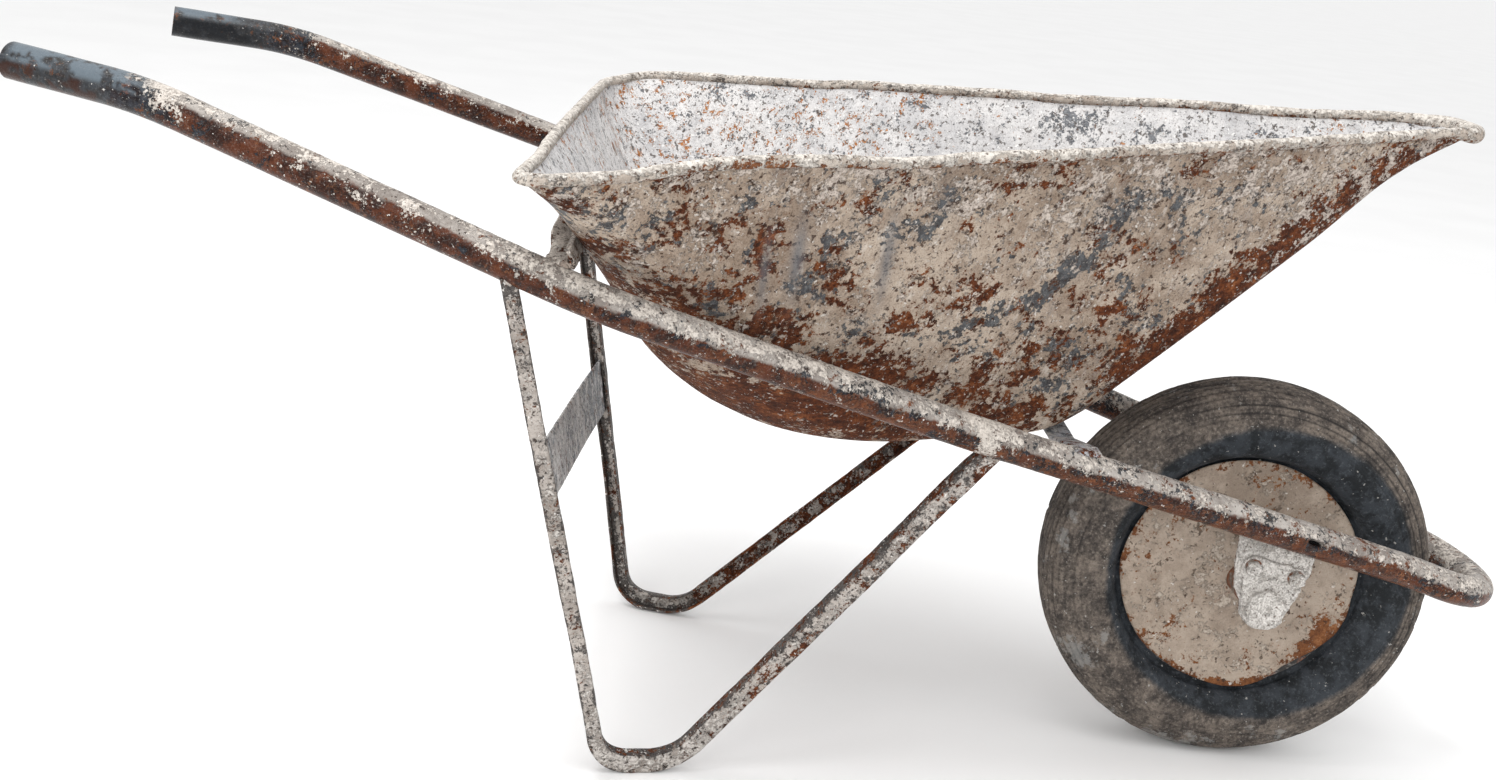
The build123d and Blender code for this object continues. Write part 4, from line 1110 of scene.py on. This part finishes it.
# ---- front bridge bar
btc = tube_centre(362.0)
tz = btc[2] + 15 + 1.2
side_pts = [(362, -btc[1] - 10, tz), (362, -btc[1] + 6, tz), (362, -74.0, 322.0), (362, 74.0, 322.0), (362, btc[1] - 6, tz), (362, btc[1] + 10, tz)]
bl = fillet_path(side_pts, [14, 20, 20, 14], 3.0, arc_step=1.5)
T = tangents(bl)
Xb = np.array([1.0, 0, 0])
Nb = unit(np.cross(T, Xb))
prof = densify(rounded([(-12, -2), (12, -2), (12, 2), (-12, 2)], 1.2, 3), 2.4)
G = bl[:, None, :] + prof[:, 0][None, :, None] * Xb + prof[:, 1][None, :, None] * Nb[:, None, :]
bridge_mat = worn("bridge_worn", rgb(178, 179, 183), rgb(140, 141, 146), rgb(58, 64, 72), rgb(92, 98, 104), seed=131.0, dark_z=2.3, rust_z=2.6,
                  film=rgb(210, 208, 205), film_z=1.9, spot_t=0.66, spot_scale=180, patch=50, fine=1.5)
slab("front_bridge_bar", "front_bridge", bridge_mat, G, lambda V: {"rust": 0.35 + 0.4 * (np.abs(V[:, 1]) > 120), "dark": 0.45 + 0 * V[:, 0], "film": 0.45 + 0 * V[:, 0]}, 0.25, 3)


# ================================================================= crusted hanger brackets
AX, AZ = 567.0, 189.5
BOLTS = [(550.5, 228.5), (591.5, 221.5)]


def remeshed(name, parts, voxel):
    """Joins closed parts (verts, faces) and remeshes them into one skin; returns vertices and faces in mm."""
    V, Fc, off = [], [], 0
    for v, f in parts:
        V.append(np.array(v, float))
        Fc += [[i + off for i in face] for face in f]
        off += len(v)
    me = bpy.data.meshes.new(name + "_tmp")
    me.from_pydata((np.concatenate(V) / 1000.0).tolist(), [], Fc)
    ob = bpy.data.objects.new(name + "_tmp", me)
    bpy.context.scene.collection.objects.link(ob)
    r = ob.modifiers.new("r", "REMESH")
    r.mode = "VOXEL"
    r.voxel_size = voxel / 1000.0
    s = ob.modifiers.new("s", "SMOOTH")
    s.factor, s.iterations = 0.5, 3
    dg = bpy.context.evaluated_depsgraph_get()
    ev = ob.evaluated_get(dg)
    m2 = bpy.data.meshes.new_from_object(ev)
    v = np.empty(len(m2.vertices) * 3)
    m2.vertices.foreach_get("co", v)
    nn = np.empty(len(m2.vertices) * 3)
    m2.vertices.foreach_get("normal", nn)
    faces = [list(p.vertices) for p in m2.polygons]
    bpy.data.objects.remove(ob)
    bpy.data.meshes.remove(me)
    bpy.data.meshes.remove(m2)
    return v.reshape(-1, 3) * 1000.0, nn.reshape(-1, 3), faces


def prism(outline, y0, y1):
    """A closed prism from an (x, z) outline between two y."""
    n = len(outline)
    V = [(x, y0, z) for x, z in outline] + [(x, y1, z) for x, z in outline]
    a = sum(outline[i][0] * outline[(i + 1) % n][1] - outline[(i + 1) % n][0] * outline[i][1] for i in range(n))
    f = [[i, (i + 1) % n, n + (i + 1) % n, n + i] for i in range(n)] + [list(range(n))[::-1], [n + i for i in range(n)]]
    if (a > 0) == (y1 > y0):
        f = [q_[::-1] for q_ in f]
    return V, f


def disc_outline(x, z, r, n=48, af=None, turn=0.0):
    out = []
    for k in range(n):
        t = 2 * math.pi * k / n
        rr = r
        if af:
            h = (math.degrees(t) - turn) % 60 - 30
            rr = min(r, af / 2 / math.cos(math.radians(h)))
        out.append((x + rr * math.cos(t), z + rr * math.sin(t)))
    return out


def tube_clear(V, gap=0.3):
    """Pushes points out of the frame tube."""
    V = V.copy()
    seg = line[::2]
    seg = seg[(np.abs(seg[:, 0] - 570) < 60)]
    d2 = ((V[:, None, :] - seg[None, :, :]) ** 2).sum(-1)
    j = d2.argmin(1)
    dv = V - seg[j]
    dist = np.linalg.norm(dv, axis=1)
    bad = dist < 15.0 + gap
    V[bad] = seg[j][bad] + dv[bad] / dist[bad][:, None] * (15.0 + gap)
    return V


crust_mat = worn("mortar_crust", rgb(206, 201, 195), rgb(168, 162, 155), rgb(100, 93, 86), rgb(130, 123, 116), spot=rgb(94, 80, 70),
                 film=rgb(218, 214, 209), film_z=1.3, rough=0.9, seed=141.0, dark_z=2.9, rust_z=3.0, spot_t=0.68, spot_scale=330.0,
                 patch=80, fine=2.2, bump=1.0, grit=0.4, white=rgb(228, 226, 222))


def crust(name, node, slot, parts, side, voxel, amp, seed, masks=None, keep_y=None, body="frame", mat=None, size=6.0):
    v, nn, f = remeshed(name, parts, voxel)
    lumps = (fbm(v, size, 3, seed) - 0.42) * 2 * amp + (fbm(v, size * 0.4, 2, seed + 5) - 0.5) * amp * 0.7
    lumps = lumps * np.where(nn[:, 1] * side > -0.3, 1.0, 0.2)
    v = v + nn * lumps[:, None]
    if keep_y is not None:
        v[:, 1] = np.clip(v[:, 1], keep_y[0], keep_y[1])
    a = masks(v) if masks else {"rust": 0.2 + 0 * v[:, 0], "dark": 0.2 + 0 * v[:, 0], "film": 0.5 + 0 * v[:, 0]}
    ob = make(name, v, f, mat or crust_mat, body, node, a)
    return ob


VOX = 0.9
for side, tag in ((1, "left"), (-1, "right")):
    y_in, y_out = side * 96.0, side * 100.0
    o = [(533.5, 276), (607.5, 256), (606, 226), (596, 205)] + [(AX + 22 * math.cos(t), AZ + 22 * math.sin(t)) for t in np.linspace(math.radians(10), math.radians(-190), 22)] + [(538, 205), (534.5, 228)]
    o = o[::-1]
    parts = [prism([tuple(p) for p in densify(np.array(o), 2.0)], min(y_in, y_out), max(y_in, y_out))]
    v, nn, f = remeshed("b", parts, VOX)
    outer_face = np.clip(nn[:, 1] * side, 0, 1)
    lumps = np.clip((fbm(v, 11.0, 3, 151 + side) - 0.45) * 3.2, -0.3, 0.62) * outer_face + (fbm(v, 4.0, 2, 155) - 0.5) * 0.5 * outer_face
    rim_ = 1 - np.abs(nn[:, 1])
    lumps = lumps + (fbm(v, 7.0, 2, 157) - 0.4) * 2.2 * rim_
    near_axle = np.hypot(v[:, 0] - AX, v[:, 2] - AZ) < 19
    lumps[near_axle] = np.minimum(lumps[near_axle], 0)
    v = v + nn * lumps[:, None]
    v = tube_clear(v, 0.1)
    low = sstep(-v[:, 2], -262, -235)
    make("hanger_plate_" + tag, v, f, crust_mat, "frame", "axle_bracket_" + tag,
         {"rust": 0.25 + 0.5 * (1 - outer_face), "dark": 0.25 + 0 * low, "film": 0.6 * outer_face})
    # bearing housing: flange and boss grown together under mortar
    y0 = side * 100.7
    pads = [(x, z, 9.8) for x, z in BOLTS] + [(AX, AZ, 20.8)]
    import itertools
    pts = np.array([p for x, z, r in pads for p in disc_outline(x, z, r, 40)])
    # convex hull in the plane
    P_ = sorted(map(tuple, pts.round(4).tolist()))

    def half(seq):
        h = []
        for p in seq:
            while len(h) >= 2 and (h[-1][0] - h[-2][0]) * (p[1] - h[-2][1]) - (h[-1][1] - h[-2][1]) * (p[0] - h[-2][0]) <= 0:
                h.pop()
            h.append(p)
        return h
    lo_, up_ = half(P_), half(P_[::-1])
    hull = lo_[:-1] + up_[:-1]
    parts = [prism(hull, min(y0, y0 + side * 2.6), max(y0, y0 + side * 2.6)),
             prism(disc_outline(AX, AZ, 18.0, 60), min(y0, y0 + side * 10.6), max(y0, y0 + side * 10.6)),
             prism(disc_outline(AX, AZ, 15.5, 60), min(y0, y0 + side * 11.9), max(y0, y0 + side * 11.9))]
    v, nn, f = remeshed("h", parts, VOX)
    outer_face = np.clip(nn[:, 1] * side, 0, 1)
    w = np.where(nn[:, 1] * side > -0.5, 1.0, 0.0)
    r_ax = np.hypot(v[:, 0] - AX, v[:, 2] - AZ)
    boss = (r_ax < 19) & (np.abs(v[:, 1]) > 104)
    lumps = (fbm(v, 8.0, 3, 161 + side) - 0.45) * 5.2 + (fbm(v, 3.6, 2, 165) - 0.5) * 1.6
    lumps = np.clip(lumps, -1.2, 1.7) * w
    v = v + nn * lumps[:, None]
    v[:, 1] = side * np.clip(np.abs(v[:, 1]), 100.7, 113.6)
    v = tube_clear(v, 0.2)
    make("bearing_boss_" + tag, v, f, crust_mat, "frame", "bearing_housing_" + tag,
         {"rust": 0.15 + 0 * w, "dark": 0.15 + 0.2 * (r_ax > 15) * (r_ax < 19), "film": 0.7 * w})

# bolts with chamfered heads under a film of mortar, both sides in one piece
parts_v, parts_f, off = [], [], 0
for side in (1, -1):
    for k, (x, z) in enumerate(BOLTS):
        y_head = side * (100.02 + 3.0 + 1.64)
        turn = 17 + 24 * k
        parts = [prism(disc_outline(x, z, 7.35, 96, af=13.0, turn=turn), min(y_head, y_head + side * 4.6), max(y_head, y_head + side * 4.6)),
                 prism(disc_outline(x, z, 6.3, 60), min(y_head, y_head + side * 5.2), max(y_head, y_head + side * 5.2)),
                 prism(disc_outline(x, z, 3.95, 40), min(y_head, y_head - side * 19.6), max(y_head, y_head - side * 19.6))]
        v, nn, f = remeshed("bolt", parts, 0.55)
        head = np.abs(v[:, 1]) > 104.5
        lumps = ((fbm(v, 5.5, 3, 171 + k) - 0.42) * 3.6 + (fbm(v, 2.2, 2, 175) - 0.5) * 0.8) * head * np.where(nn[:, 1] * side > -0.5, 1, 0)
        v = v + nn * np.clip(lumps, -0.5, 1.5)[:, None]
        parts_v.append(v)
        parts_f += [[i + off for i in q_] for q_ in f]
        off += len(v)
bv = np.concatenate(parts_v)
hd = (np.abs(bv[:, 1]) > 103.5).astype(float)
make("hanger_bolts", bv, parts_f, crust_mat, "frame", "bracket_bolts", {"rust": 0.25 + 0.4 * (1 - hd), "dark": 0.3 + 0 * hd, "film": 0.65 * hd})

# ================================================================= the wheel
def lathe(profile, n, wob=None, closed=True):
    """Turns a (y, r) outline about the axle; wob(theta, y, r) gives a change of (y, r)."""
    P = np.array(profile, float)
    th = np.linspace(0, 2 * math.pi, n, endpoint=False)
    Y = np.broadcast_to(P[:, 0][None, :], (n, len(P))).copy()
    R = np.broadcast_to(P[:, 1][None, :], (n, len(P))).copy()
    TH = np.broadcast_to(th[:, None], Y.shape)
    if wob:
        dy, dr = wob(TH, Y, R)
        Y, R = Y + dy, R + dr
    G = np.stack([AX + R * np.cos(TH), Y, AZ + R * np.sin(TH)], -1)
    return G, TH, Y, R, grid_faces(n, len(P), True, closed)


def smooth_open(P, per=6):
    """Catmull-Rom through an open (y, r) outline."""
    P = np.array(P, float)
    Q = np.concatenate([[2 * P[0] - P[1]], P, [2 * P[-1] - P[-2]]])
    out = []
    for i in range(1, len(Q) - 2):
        for k in range(per):
            t = k / per
            p0, p1, p2, p3 = Q[i - 1], Q[i], Q[i + 1], Q[i + 2]
            out.append(0.5 * ((2 * p1) + (-p0 + p2) * t + (2 * p0 - 5 * p1 + 4 * p2 - p3) * t * t + (-p0 + 3 * p1 - 3 * p2 + p3) * t ** 3))
    out.append(P[-1])
    return np.array(out)


half_out = [(0, 189.5), (8, 189.3), (16, 188.6), (24, 185.9), (31.5, 180.5), (36.5, 173.0), (40.4, 162), (42.4, 148), (41.2, 137), (37.2, 128.4), (32.0, 123.0), (27.0, 120.6), (23.6, 119.2), (21.6, 115.5), (20.9, 111), (20.2, 105.2), (18.7, 102.4), (12.8, 102.1)]
half_in = [(13.2, 106), (15.5, 110), (18.5, 118), (24, 125.5), (33, 132), (37, 141), (38, 148), (36.5, 158), (32, 168), (25, 176), (12, 180.5), (0, 181.5)]
ho = smooth_open(half_out, 9)
# resample the outside evenly so that the fine ribs are drawn cleanly
arc = np.concatenate([[0], np.cumsum(np.linalg.norm(np.diff(ho, axis=0), axis=1))])
gap = 0.62
sq = np.linspace(0, arc[-1], int(arc[-1] / gap))
ho = np.stack([np.interp(sq, arc, ho[:, 0]), np.interp(sq, arc, ho[:, 1])], -1)
# rib pattern along the section, by distance from the middle of the tread
rib = np.zeros(len(ho))
for s0, wd, dp in [(5.0, 1.5, 1.2), (13.8, 1.5, 1.2), (22.5, 1.4, 1.1), (31.0, 1.2, 0.8), (38.0, 1.0, 0.5), (44.0, 0.9, 0.45), (53.0, 1.0, 0.75)]:
    rib = rib - dp * np.exp(-((sq - s0) / wd) ** 4)
for s0, wd, dp in [(60.0, 0.9, 0.55), (64.5, 0.9, -0.5), (101.0, 1.4, -0.5), (104.5, 0.8, 0.35)]:
    rib = rib - dp * np.exp(-((sq - s0) / wd) ** 2)
tg = np.gradient(ho, axis=0)
nrm = unit(np.stack([tg[:, 1], -tg[:, 0]], -1))
if nrm[0, 1] < 0:
    nrm = -nrm
prof_r = np.concatenate([ho, half_in])
prof_l = np.stack([-prof_r[:, 0], prof_r[:, 1]], -1)
full = np.concatenate([ho[::-1] * np.array([-1, 1]), ho[1:], half_in[:-1], (np.array(half_in) * np.array([-1, 1]))[::-1][0:]])
k_out = 2 * len(ho) - 1
rib_full = np.concatenate([rib[::-1], rib[1:], np.zeros(len(full) - k_out)])
nf = np.concatenate([(nrm * np.array([-1, 1]))[::-1], nrm[1:], np.zeros((len(full) - k_out, 2))])
s_full = np.concatenate([sq[::-1], sq[1:], np.full(len(full) - k_out, 300.0)])
NT = 360


def tyre_wob(TH, Y, R):
    c = np.stack([R * np.cos(TH), Y * 2.0, R * np.sin(TH)], -1)
    worn_ = 0.35 + 0.65 * sstep(fbm(c, 38.0, 3, 181), 0.36, 0.58)           # ribs worn away here and there
    ribs = rib_full[None, :] * worn_
    skin = (fbm(c, 14.0, 3, 182) - 0.5) * 1.1 + (fbm(c, 90.0, 2, 183) - 0.5) * 1.6
    tread = sstep(-s_full, -60, -46)[None, :]
    nicks = -1.1 * sstep(fbm(c, 8.0, 2, 184), 0.66, 0.74) * tread
    out = (s_full < 120)[None, :]
    d_ = (ribs + skin * (0.45 + 0.4 * tread) + nicks) * out
    d_ = np.minimum(d_, 0.35) - 0.35 * out
    return nf[None, :, 0] * d_, nf[None, :, 1] * d_


G, TH, Y, R, faces = lathe(full, NT, tyre_wob)
c = np.stack([G[..., 0], Y * 2.0, G[..., 2]], -1)
S = np.broadcast_to(s_full[None, :], Y.shape)
ang_deg = np.degrees(TH) % 360
low_left = 0.5 + 0.5 * np.cos(np.radians(ang_deg - 215))                     # dustier towards the rear and below
line_s = 70.0 - 17.0 * np.cos(np.radians(ang_deg - 20))                       # where the dust gives way to black, further in at the rear
dust = sstep(line_s + 8 - S, 0, 18) * 0.92
groove_ = np.broadcast_to((-rib_full)[None, :], Y.shape)
dust = dust + (0.16 * low_left - 0.10) * sstep(S, 50, 70) - 0.10 * np.clip(groove_, 0, 1.5)
# painted shade: the grooves are darkened
groove_shade_mask = np.clip(groove_ / 1.4, 0, 1) * 0.9
fresh = 0.5 + 0.5 * np.cos(np.radians(ang_deg - 40))                          # painted groove shade: two sharper dark lines on the less dusty side
groove_shade_mask = np.maximum(groove_shade_mask, 1.6 * sstep(fresh, 0.45, 0.8) * (np.exp(-((S - 40.0) / 1.2) ** 2) + 0.8 * np.exp(-((S - 48.0) / 1.0) ** 2)))

ty = Mat("tyre_rubber_dusty")
big = ty.noise(9.0, 5, 0.6, off=201.0)
mid = ty.noise(46.0, 8, 0.7, off=202.0)
fine_ = ty.noise(300.0, 5, 0.7, off=203.0)
rub = ty.mix(ty.step(mid, 0.40, 0.60), rgb(24, 27, 30), rgb(50, 54, 59))
rub = ty.mix(ty.math("MULTIPLY", ty.step(fine_, 0.52, 0.66), 0.3), rub, rgb(96, 100, 104))
dustc = ty.mix(ty.step(mid, 0.38, 0.64), rgb(66, 61, 58), rgb(110, 101, 93))
dustc = ty.mix(ty.math("MULTIPLY", ty.step(fine_, 0.50, 0.68), 0.5), dustc, rgb(146, 136, 126))
dustc = ty.mix(ty.math("MULTIPLY", ty.step(fine_, 0.48, 0.36), 0.6), dustc, rgb(42, 40, 39))
dm = ty.math("ADD", ty.attr("dust"), ty.math("MULTIPLY", ty.math("SUBTRACT", ty.math("ADD", ty.math("MULTIPLY", big, 0.35), ty.math("MULTIPLY", mid, 0.65)), 0.5), 1.5))
dmask = ty.step(dm, 0.18, 0.85)
col = ty.mix(dmask, rub, dustc)
cd = ty.noise(22.0, 10, 0.72, off=205.0)
cm = ty.step(ty.math("ADD", cd, ty.math("MULTIPLY", ty.attr("dust"), 0.08)), 0.655, 0.70)
col = ty.mix(ty.math("MULTIPLY", cm, 0.45), col, rgb(150, 150, 148))
# painted shade in the grooves
col = ty.mix(ty.math("MULTIPLY", ty.attr("groove_shade"), 0.55), col, rgb(30, 29, 29))
sp = ty.step(ty.noise(210.0, 3, 0.5, off=206.0), 0.69, 0.72)
col = ty.mix(ty.math("MULTIPLY", sp, 0.6), col, rgb(176, 174, 170))
ty.l.new(col, ty.b.inputs["Base Color"])
ty.l.new(ty.math("ADD", 0.60, ty.math("MULTIPLY", dmask, 0.28)), ty.b.inputs["Roughness"])
ty.b.inputs["Specular IOR Level"].default_value = 0.18
h = ty.math("ADD", ty.math("MULTIPLY", mid, 0.5), ty.math("MULTIPLY", fine_, 0.5))
ty.l.new(ty.bump(h, 0.0016, 0.9), ty.b.inputs["Normal"])
tyre = make("tyre_ribbed", G.reshape(-1, 3), faces, ty.m, "wheel", "tyre", {"dust": dust, "groove_shade": groove_shade_mask})
outward(tyre)

# ---- pressed discs; the right one's edge is knocked out of round
DENT_A = [-180, -168, -152, -137, -121, -102, -88, -78, -69, -56, -47, -39, -26, -16, -6, 4, 16, 29, 44, 60, 75, 99, 118, 129, 154, 178, 180]
DENT_R = [116.8, 114.5, 113.8, 113.0, 112.4, 113.6, 116.4, 117.2, 114.8, 106.6, 107.0, 111.0, 117.0, 117.3, 114.2, 115.6, 117.0, 117.4, 116.4, 116.2, 117.2, 117.3, 117.4, 116.6, 114.6, 117.0, 117.0]
disc_mat = worn("disc_paint_worn", rgb(166, 152, 138), rgb(136, 122, 109), rgb(80, 68, 58), rgb(106, 92, 80), spot=rgb(66, 48, 38),
                rust=[(0.32, rgb(62, 38, 26)), (0.45, rgb(92, 57, 37)), (0.56, rgb(122, 78, 48)), (0.70, rgb(156, 112, 78))],
                film=rgb(180, 168, 155), film_z=2.4, rough=0.84, seed=211.0, dark_z=2.7, rust_z=2.4, spot_t=0.705, spot_scale=130.0,
                patch=40, fine=1.2, bump=0.6, grit=0.22, white_t=0.70)
for side, tag in ((1, "left"), (-1, "right")):
    face = [(34.0, 14.3), (34.0, 22.0), (33.9, 29.5), (33.0, 34.5), (28.6, 50.0), (27.2, 58.0), (26.8, 66), (26.6, 80), (26.5, 92), (26.5, 100.0), (26.7, 107.0), (27.0, 112.5), (26.9, 115.6), (26.1, 117.2), (25.2, 117.6)]
    back = [(24.3, 117.0), (24.4, 114.5), (24.3, 108.0), (24.3, 100.0), (24.3, 80.0), (24.5, 58.0), (26.5, 48.5), (31.0, 33.5), (31.9, 29.5), (31.9, 14.3)]
    fo = smooth_open(face, 5)
    bo = smooth_open(back, 4)
    full_d = np.concatenate([fo, bo])
    n_front = len(fo)
    full_d = full_d * np.array([side, 1])

    def disc_wob(TH, Y, R, side=side):
        a = (np.degrees(TH) + 180) % 360 - 180
        edge = sstep(R, 66, 117)
        if side < 0:
            tgt = np.interp(a, DENT_A, DENT_R)
            dr = (tgt - 117.4) * edge
            bend = np.exp(-((a + 50) / 17) ** 2)
            lift = side * bend * 2.6 * sstep(R, 84, 114)
            lift = lift + side * 1.0 * np.exp(-((a + 86) / 9) ** 2) * sstep(R, 92, 116)
        else:
            dr = (-1.2 + 1.0 * np.sin(3 * TH + 1.0)) * edge
            lift = 0 * R
        c_ = np.stack([R * np.cos(TH), Y * 0, R * np.sin(TH)], -1)
        dy = side * np.clip((fbm(c_, 60.0, 2, 191 + side) - 0.5) * 1.8 + (fbm(c_, 18.0, 2, 195) - 0.5) * 0.5, -0.5, 1.4) * sstep(R, 30, 50)
        dy = dy + lift
        return dy, dr

    G, TH, Y, R, faces = lathe(full_d, 300, disc_wob)
    a = (np.degrees(TH) + 180) % 360 - 180
    edge = sstep(R, 106, 116)
    rust = 0.10 + 0.55 * edge * (0.5 + 0.5 * fbm(np.stack([R * np.cos(TH), Y, R * np.sin(TH)], -1), 30, 2, 7))
    if side < 0:
        rust = rust + 0.85 * np.exp(-((a + 40) / 26) ** 2) * sstep(R, 70, 106) + 0.85 * np.exp(-((a + 84) / 34) ** 2) * sstep(R, 102, 113) + 0.25 * np.exp(-((a + 18) / 12) ** 2) * sstep(R, 60, 80) + 0.28 * np.exp(-((a - 190) / 40) ** 2) * sstep(R, 60, 100) + 0.28 * np.exp(-((a + 150) / 40) ** 2) * sstep(R, 60, 100)
    else:
        rust = rust + 0.8 * np.exp(-((a + 120) / 22) ** 2) * sstep(R, 80, 108)
    back_m = np.zeros_like(R); back_m[:, n_front:] = 1
    film_m = 0.25 + 0.3 * sstep(-R, -60, -40)
    ob = make("wheel_disc_" + tag + "_pressed", G.reshape(-1, 3), faces, disc_mat, "wheel", "wheel_disc_" + tag,
              {"rust": np.where(back_m > 0, 0.7, rust), "dark": 0.25 + 0 * R, "film": film_m}, sharp=60)
    outward(ob)

# ================================================================= carried-over CAD pieces
def plain(name, base, shade, rough, metal, seed, rust=None, rust_t=0.62, bump=0.6, scale=160.0):
    s = Mat(name)
    a = s.noise(scale, 6, 0.65, off=seed)
    b = s.noise(scale * 0.22, 8, 0.7, off=seed + 1.5)
    col = s.mix(s.step(b, 0.38, 0.62), shade, base)
    col = s.mix(s.math("MULTIPLY", s.step(a, 0.48, 0.66), 0.25), col, rgb(226, 222, 216))
    mask = 0.0
    if rust is not None:
        mask = s.step(s.noise(scale * 0.35, 10, 0.72, off=seed + 3.0), rust_t - 0.1, rust_t)
        col = s.mix(mask, col, s.ramp(a, [(0.3, rgb(62, 36, 26)), (0.5, rgb(112, 66, 42)), (0.7, rust)]))
        s.l.new(s.math("MULTIPLY", s.math("SUBTRACT", 1.0, mask), metal), s.b.inputs["Metallic"])
    else:
        s.b.inputs["Metallic"].default_value = metal
    s.l.new(col, s.b.inputs["Base Color"])
    s.l.new(s.math("ADD", rough - 0.05, s.math("MULTIPLY", a, 0.12)), s.b.inputs["Roughness"])
    s.l.new(s.bump(s.math("ADD", s.math("MULTIPLY", a, 0.5), s.math("MULTIPLY", b, 0.5)), 0.0006 * bump, 0.8), s.b.inputs["Normal"])
    return s.m


m_steel = plain("plain_steel_dulled", rgb(150, 146, 142), rgb(112, 106, 100), 0.45, 0.7, 301, rust=rgb(150, 98, 62), rust_t=0.56)
m_zinc = plain("zinc_dulled", rgb(168, 164, 158), rgb(128, 120, 112), 0.5, 0.6, 311, rust=rgb(146, 96, 62), rust_t=0.53)
m_hub = plain("hub_paint_rusty", rgb(120, 106, 94), rgb(84, 70, 60), 0.75, 0.0, 321, rust=rgb(140, 88, 54), rust_t=0.50, bump=1.2)
m_bronze = plain("bronze_oiled", rgb(176, 130, 74), rgb(120, 84, 46), 0.38, 0.85, 331)
m_black = plain("butyl_black", rgb(38, 38, 40), rgb(24, 24, 26), 0.7, 0.0, 341)
m_cap = plain("cap_plastic_black", rgb(34, 34, 36), rgb(22, 22, 24), 0.5, 0.0, 351)
m_rim = plain("rim_paint_black_rust", rgb(52, 48, 46), rgb(34, 32, 32), 0.7, 0.0, 361, rust=rgb(128, 78, 48), rust_t=0.56, bump=1.2)
wire = make("rolled_edge_wire", wire_g.reshape(-1, 3), wire_f, m_steel, "frame", "rim_wire")
outward(wire)
CAD_MATS = {"tray_bolts": m_zinc, "tray_nuts": m_zinc, "tray_washers": m_zinc, "bearing_bush_left": m_bronze, "bearing_bush_right": m_bronze,
            "bracket_nuts": m_zinc, "bracket_washers": m_zinc, "axle": m_steel, "hub_tube": m_hub, "thrust_washers": m_steel, "wheel_rim": m_rim,
            "valve_stem": m_black, "valve_cap": m_cap, "inner_tube": m_black}
for node, mt in CAD_MATS.items():
    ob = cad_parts[node]
    for s in ob.material_slots:
        s.material = mt

# ================================================================= floor, light, camera
me = bpy.data.meshes.new("floor")
me.from_pydata([(-60, -20, 0), (60, -20, 0), (60, 120, 0), (-60, 120, 0)], [], [[0, 1, 2, 3]])
fl = bpy.data.objects.new("floor", me)
bpy.context.scene.collection.objects.link(fl)
fm = Mat("floor_pale")
fm.l.new(fm.mix(fm.step(fm.noise(3.0, 4, 0.5), 0.3, 0.7), rgb(246, 246, 246), rgb(249, 249, 249)), fm.b.inputs["Base Color"])
fm.b.inputs["Roughness"].default_value = 0.9
me.materials.append(fm.m)

world = bpy.data.worlds.new("studio")
bpy.context.scene.world = world
world.use_nodes = True
bg = world.node_tree.nodes["Background"]
bg.inputs[0].default_value = (1.0, 1.0, 1.0, 1)
bg.inputs[1].default_value = 0.95


def area(name, loc, target, size, energy, colour=(1, 1, 1)):
    L = bpy.data.lights.new(name, "AREA")
    L.shape = "RECTANGLE"
    L.size, L.size_y = size
    L.energy = energy
    L.color = colour
    o = bpy.data.objects.new(name, L)
    o.location = loc
    o.rotation_euler = (Vector(target) - Vector(loc)).to_track_quat("-Z", "Y").to_euler()
    bpy.context.scene.collection.objects.link(o)
    return o


area("sky", (-0.6, -0.5, 3.0), (0.0, 0.0, 0.3), (2.2, 1.6), 58)
area("front", (-1.6, -3.2, 1.9), (0.0, 0.0, 0.3), (1.8, 1.3), 36, (1.0, 0.99, 0.97))
area("side", (3.0, -1.2, 1.6), (0.2, 0.0, 0.3), (1.6, 1.6), 12)

cam = bpy.data.cameras.new("camera")
co = bpy.data.objects.new("camera", cam)
bpy.context.scene.collection.objects.link(co)
cam.sensor_width = 36.0
cam.sensor_fit = "HORIZONTAL"
cam.lens = 1693.0 / 1496.0 * 36.0
cam.shift_x = 0.0
cam.shift_y = -105.0 / 1496.0
cam.clip_start, cam.clip_end = 0.05, 400
yaw, pitch, roll = 0.03908531, 0.22839795, -0.12086789
fwd = np.array([math.sin(yaw) * math.cos(pitch), math.cos(yaw) * math.cos(pitch), -math.sin(pitch)])
right0 = np.array([math.cos(yaw), -math.sin(yaw), 0.0])
down0 = np.cross(fwd, right0)
rightv = right0 * math.cos(roll) + down0 * math.sin(roll)
downv = -right0 * math.sin(roll) + down0 * math.cos(roll)
M = Matrix.Identity(4)
for i in range(3):
    M[i][0], M[i][1], M[i][2] = rightv[i], -downv[i], -fwd[i]
M[0][3], M[1][3], M[2][3] = -0.131732, -1.555375, 0.777951
co.matrix_world = M
bpy.context.scene.camera = co
sc = bpy.context.scene
sc.view_settings.view_transform = "Standard"
sc.view_settings.look = "None"
sc.view_settings.exposure = 0.0
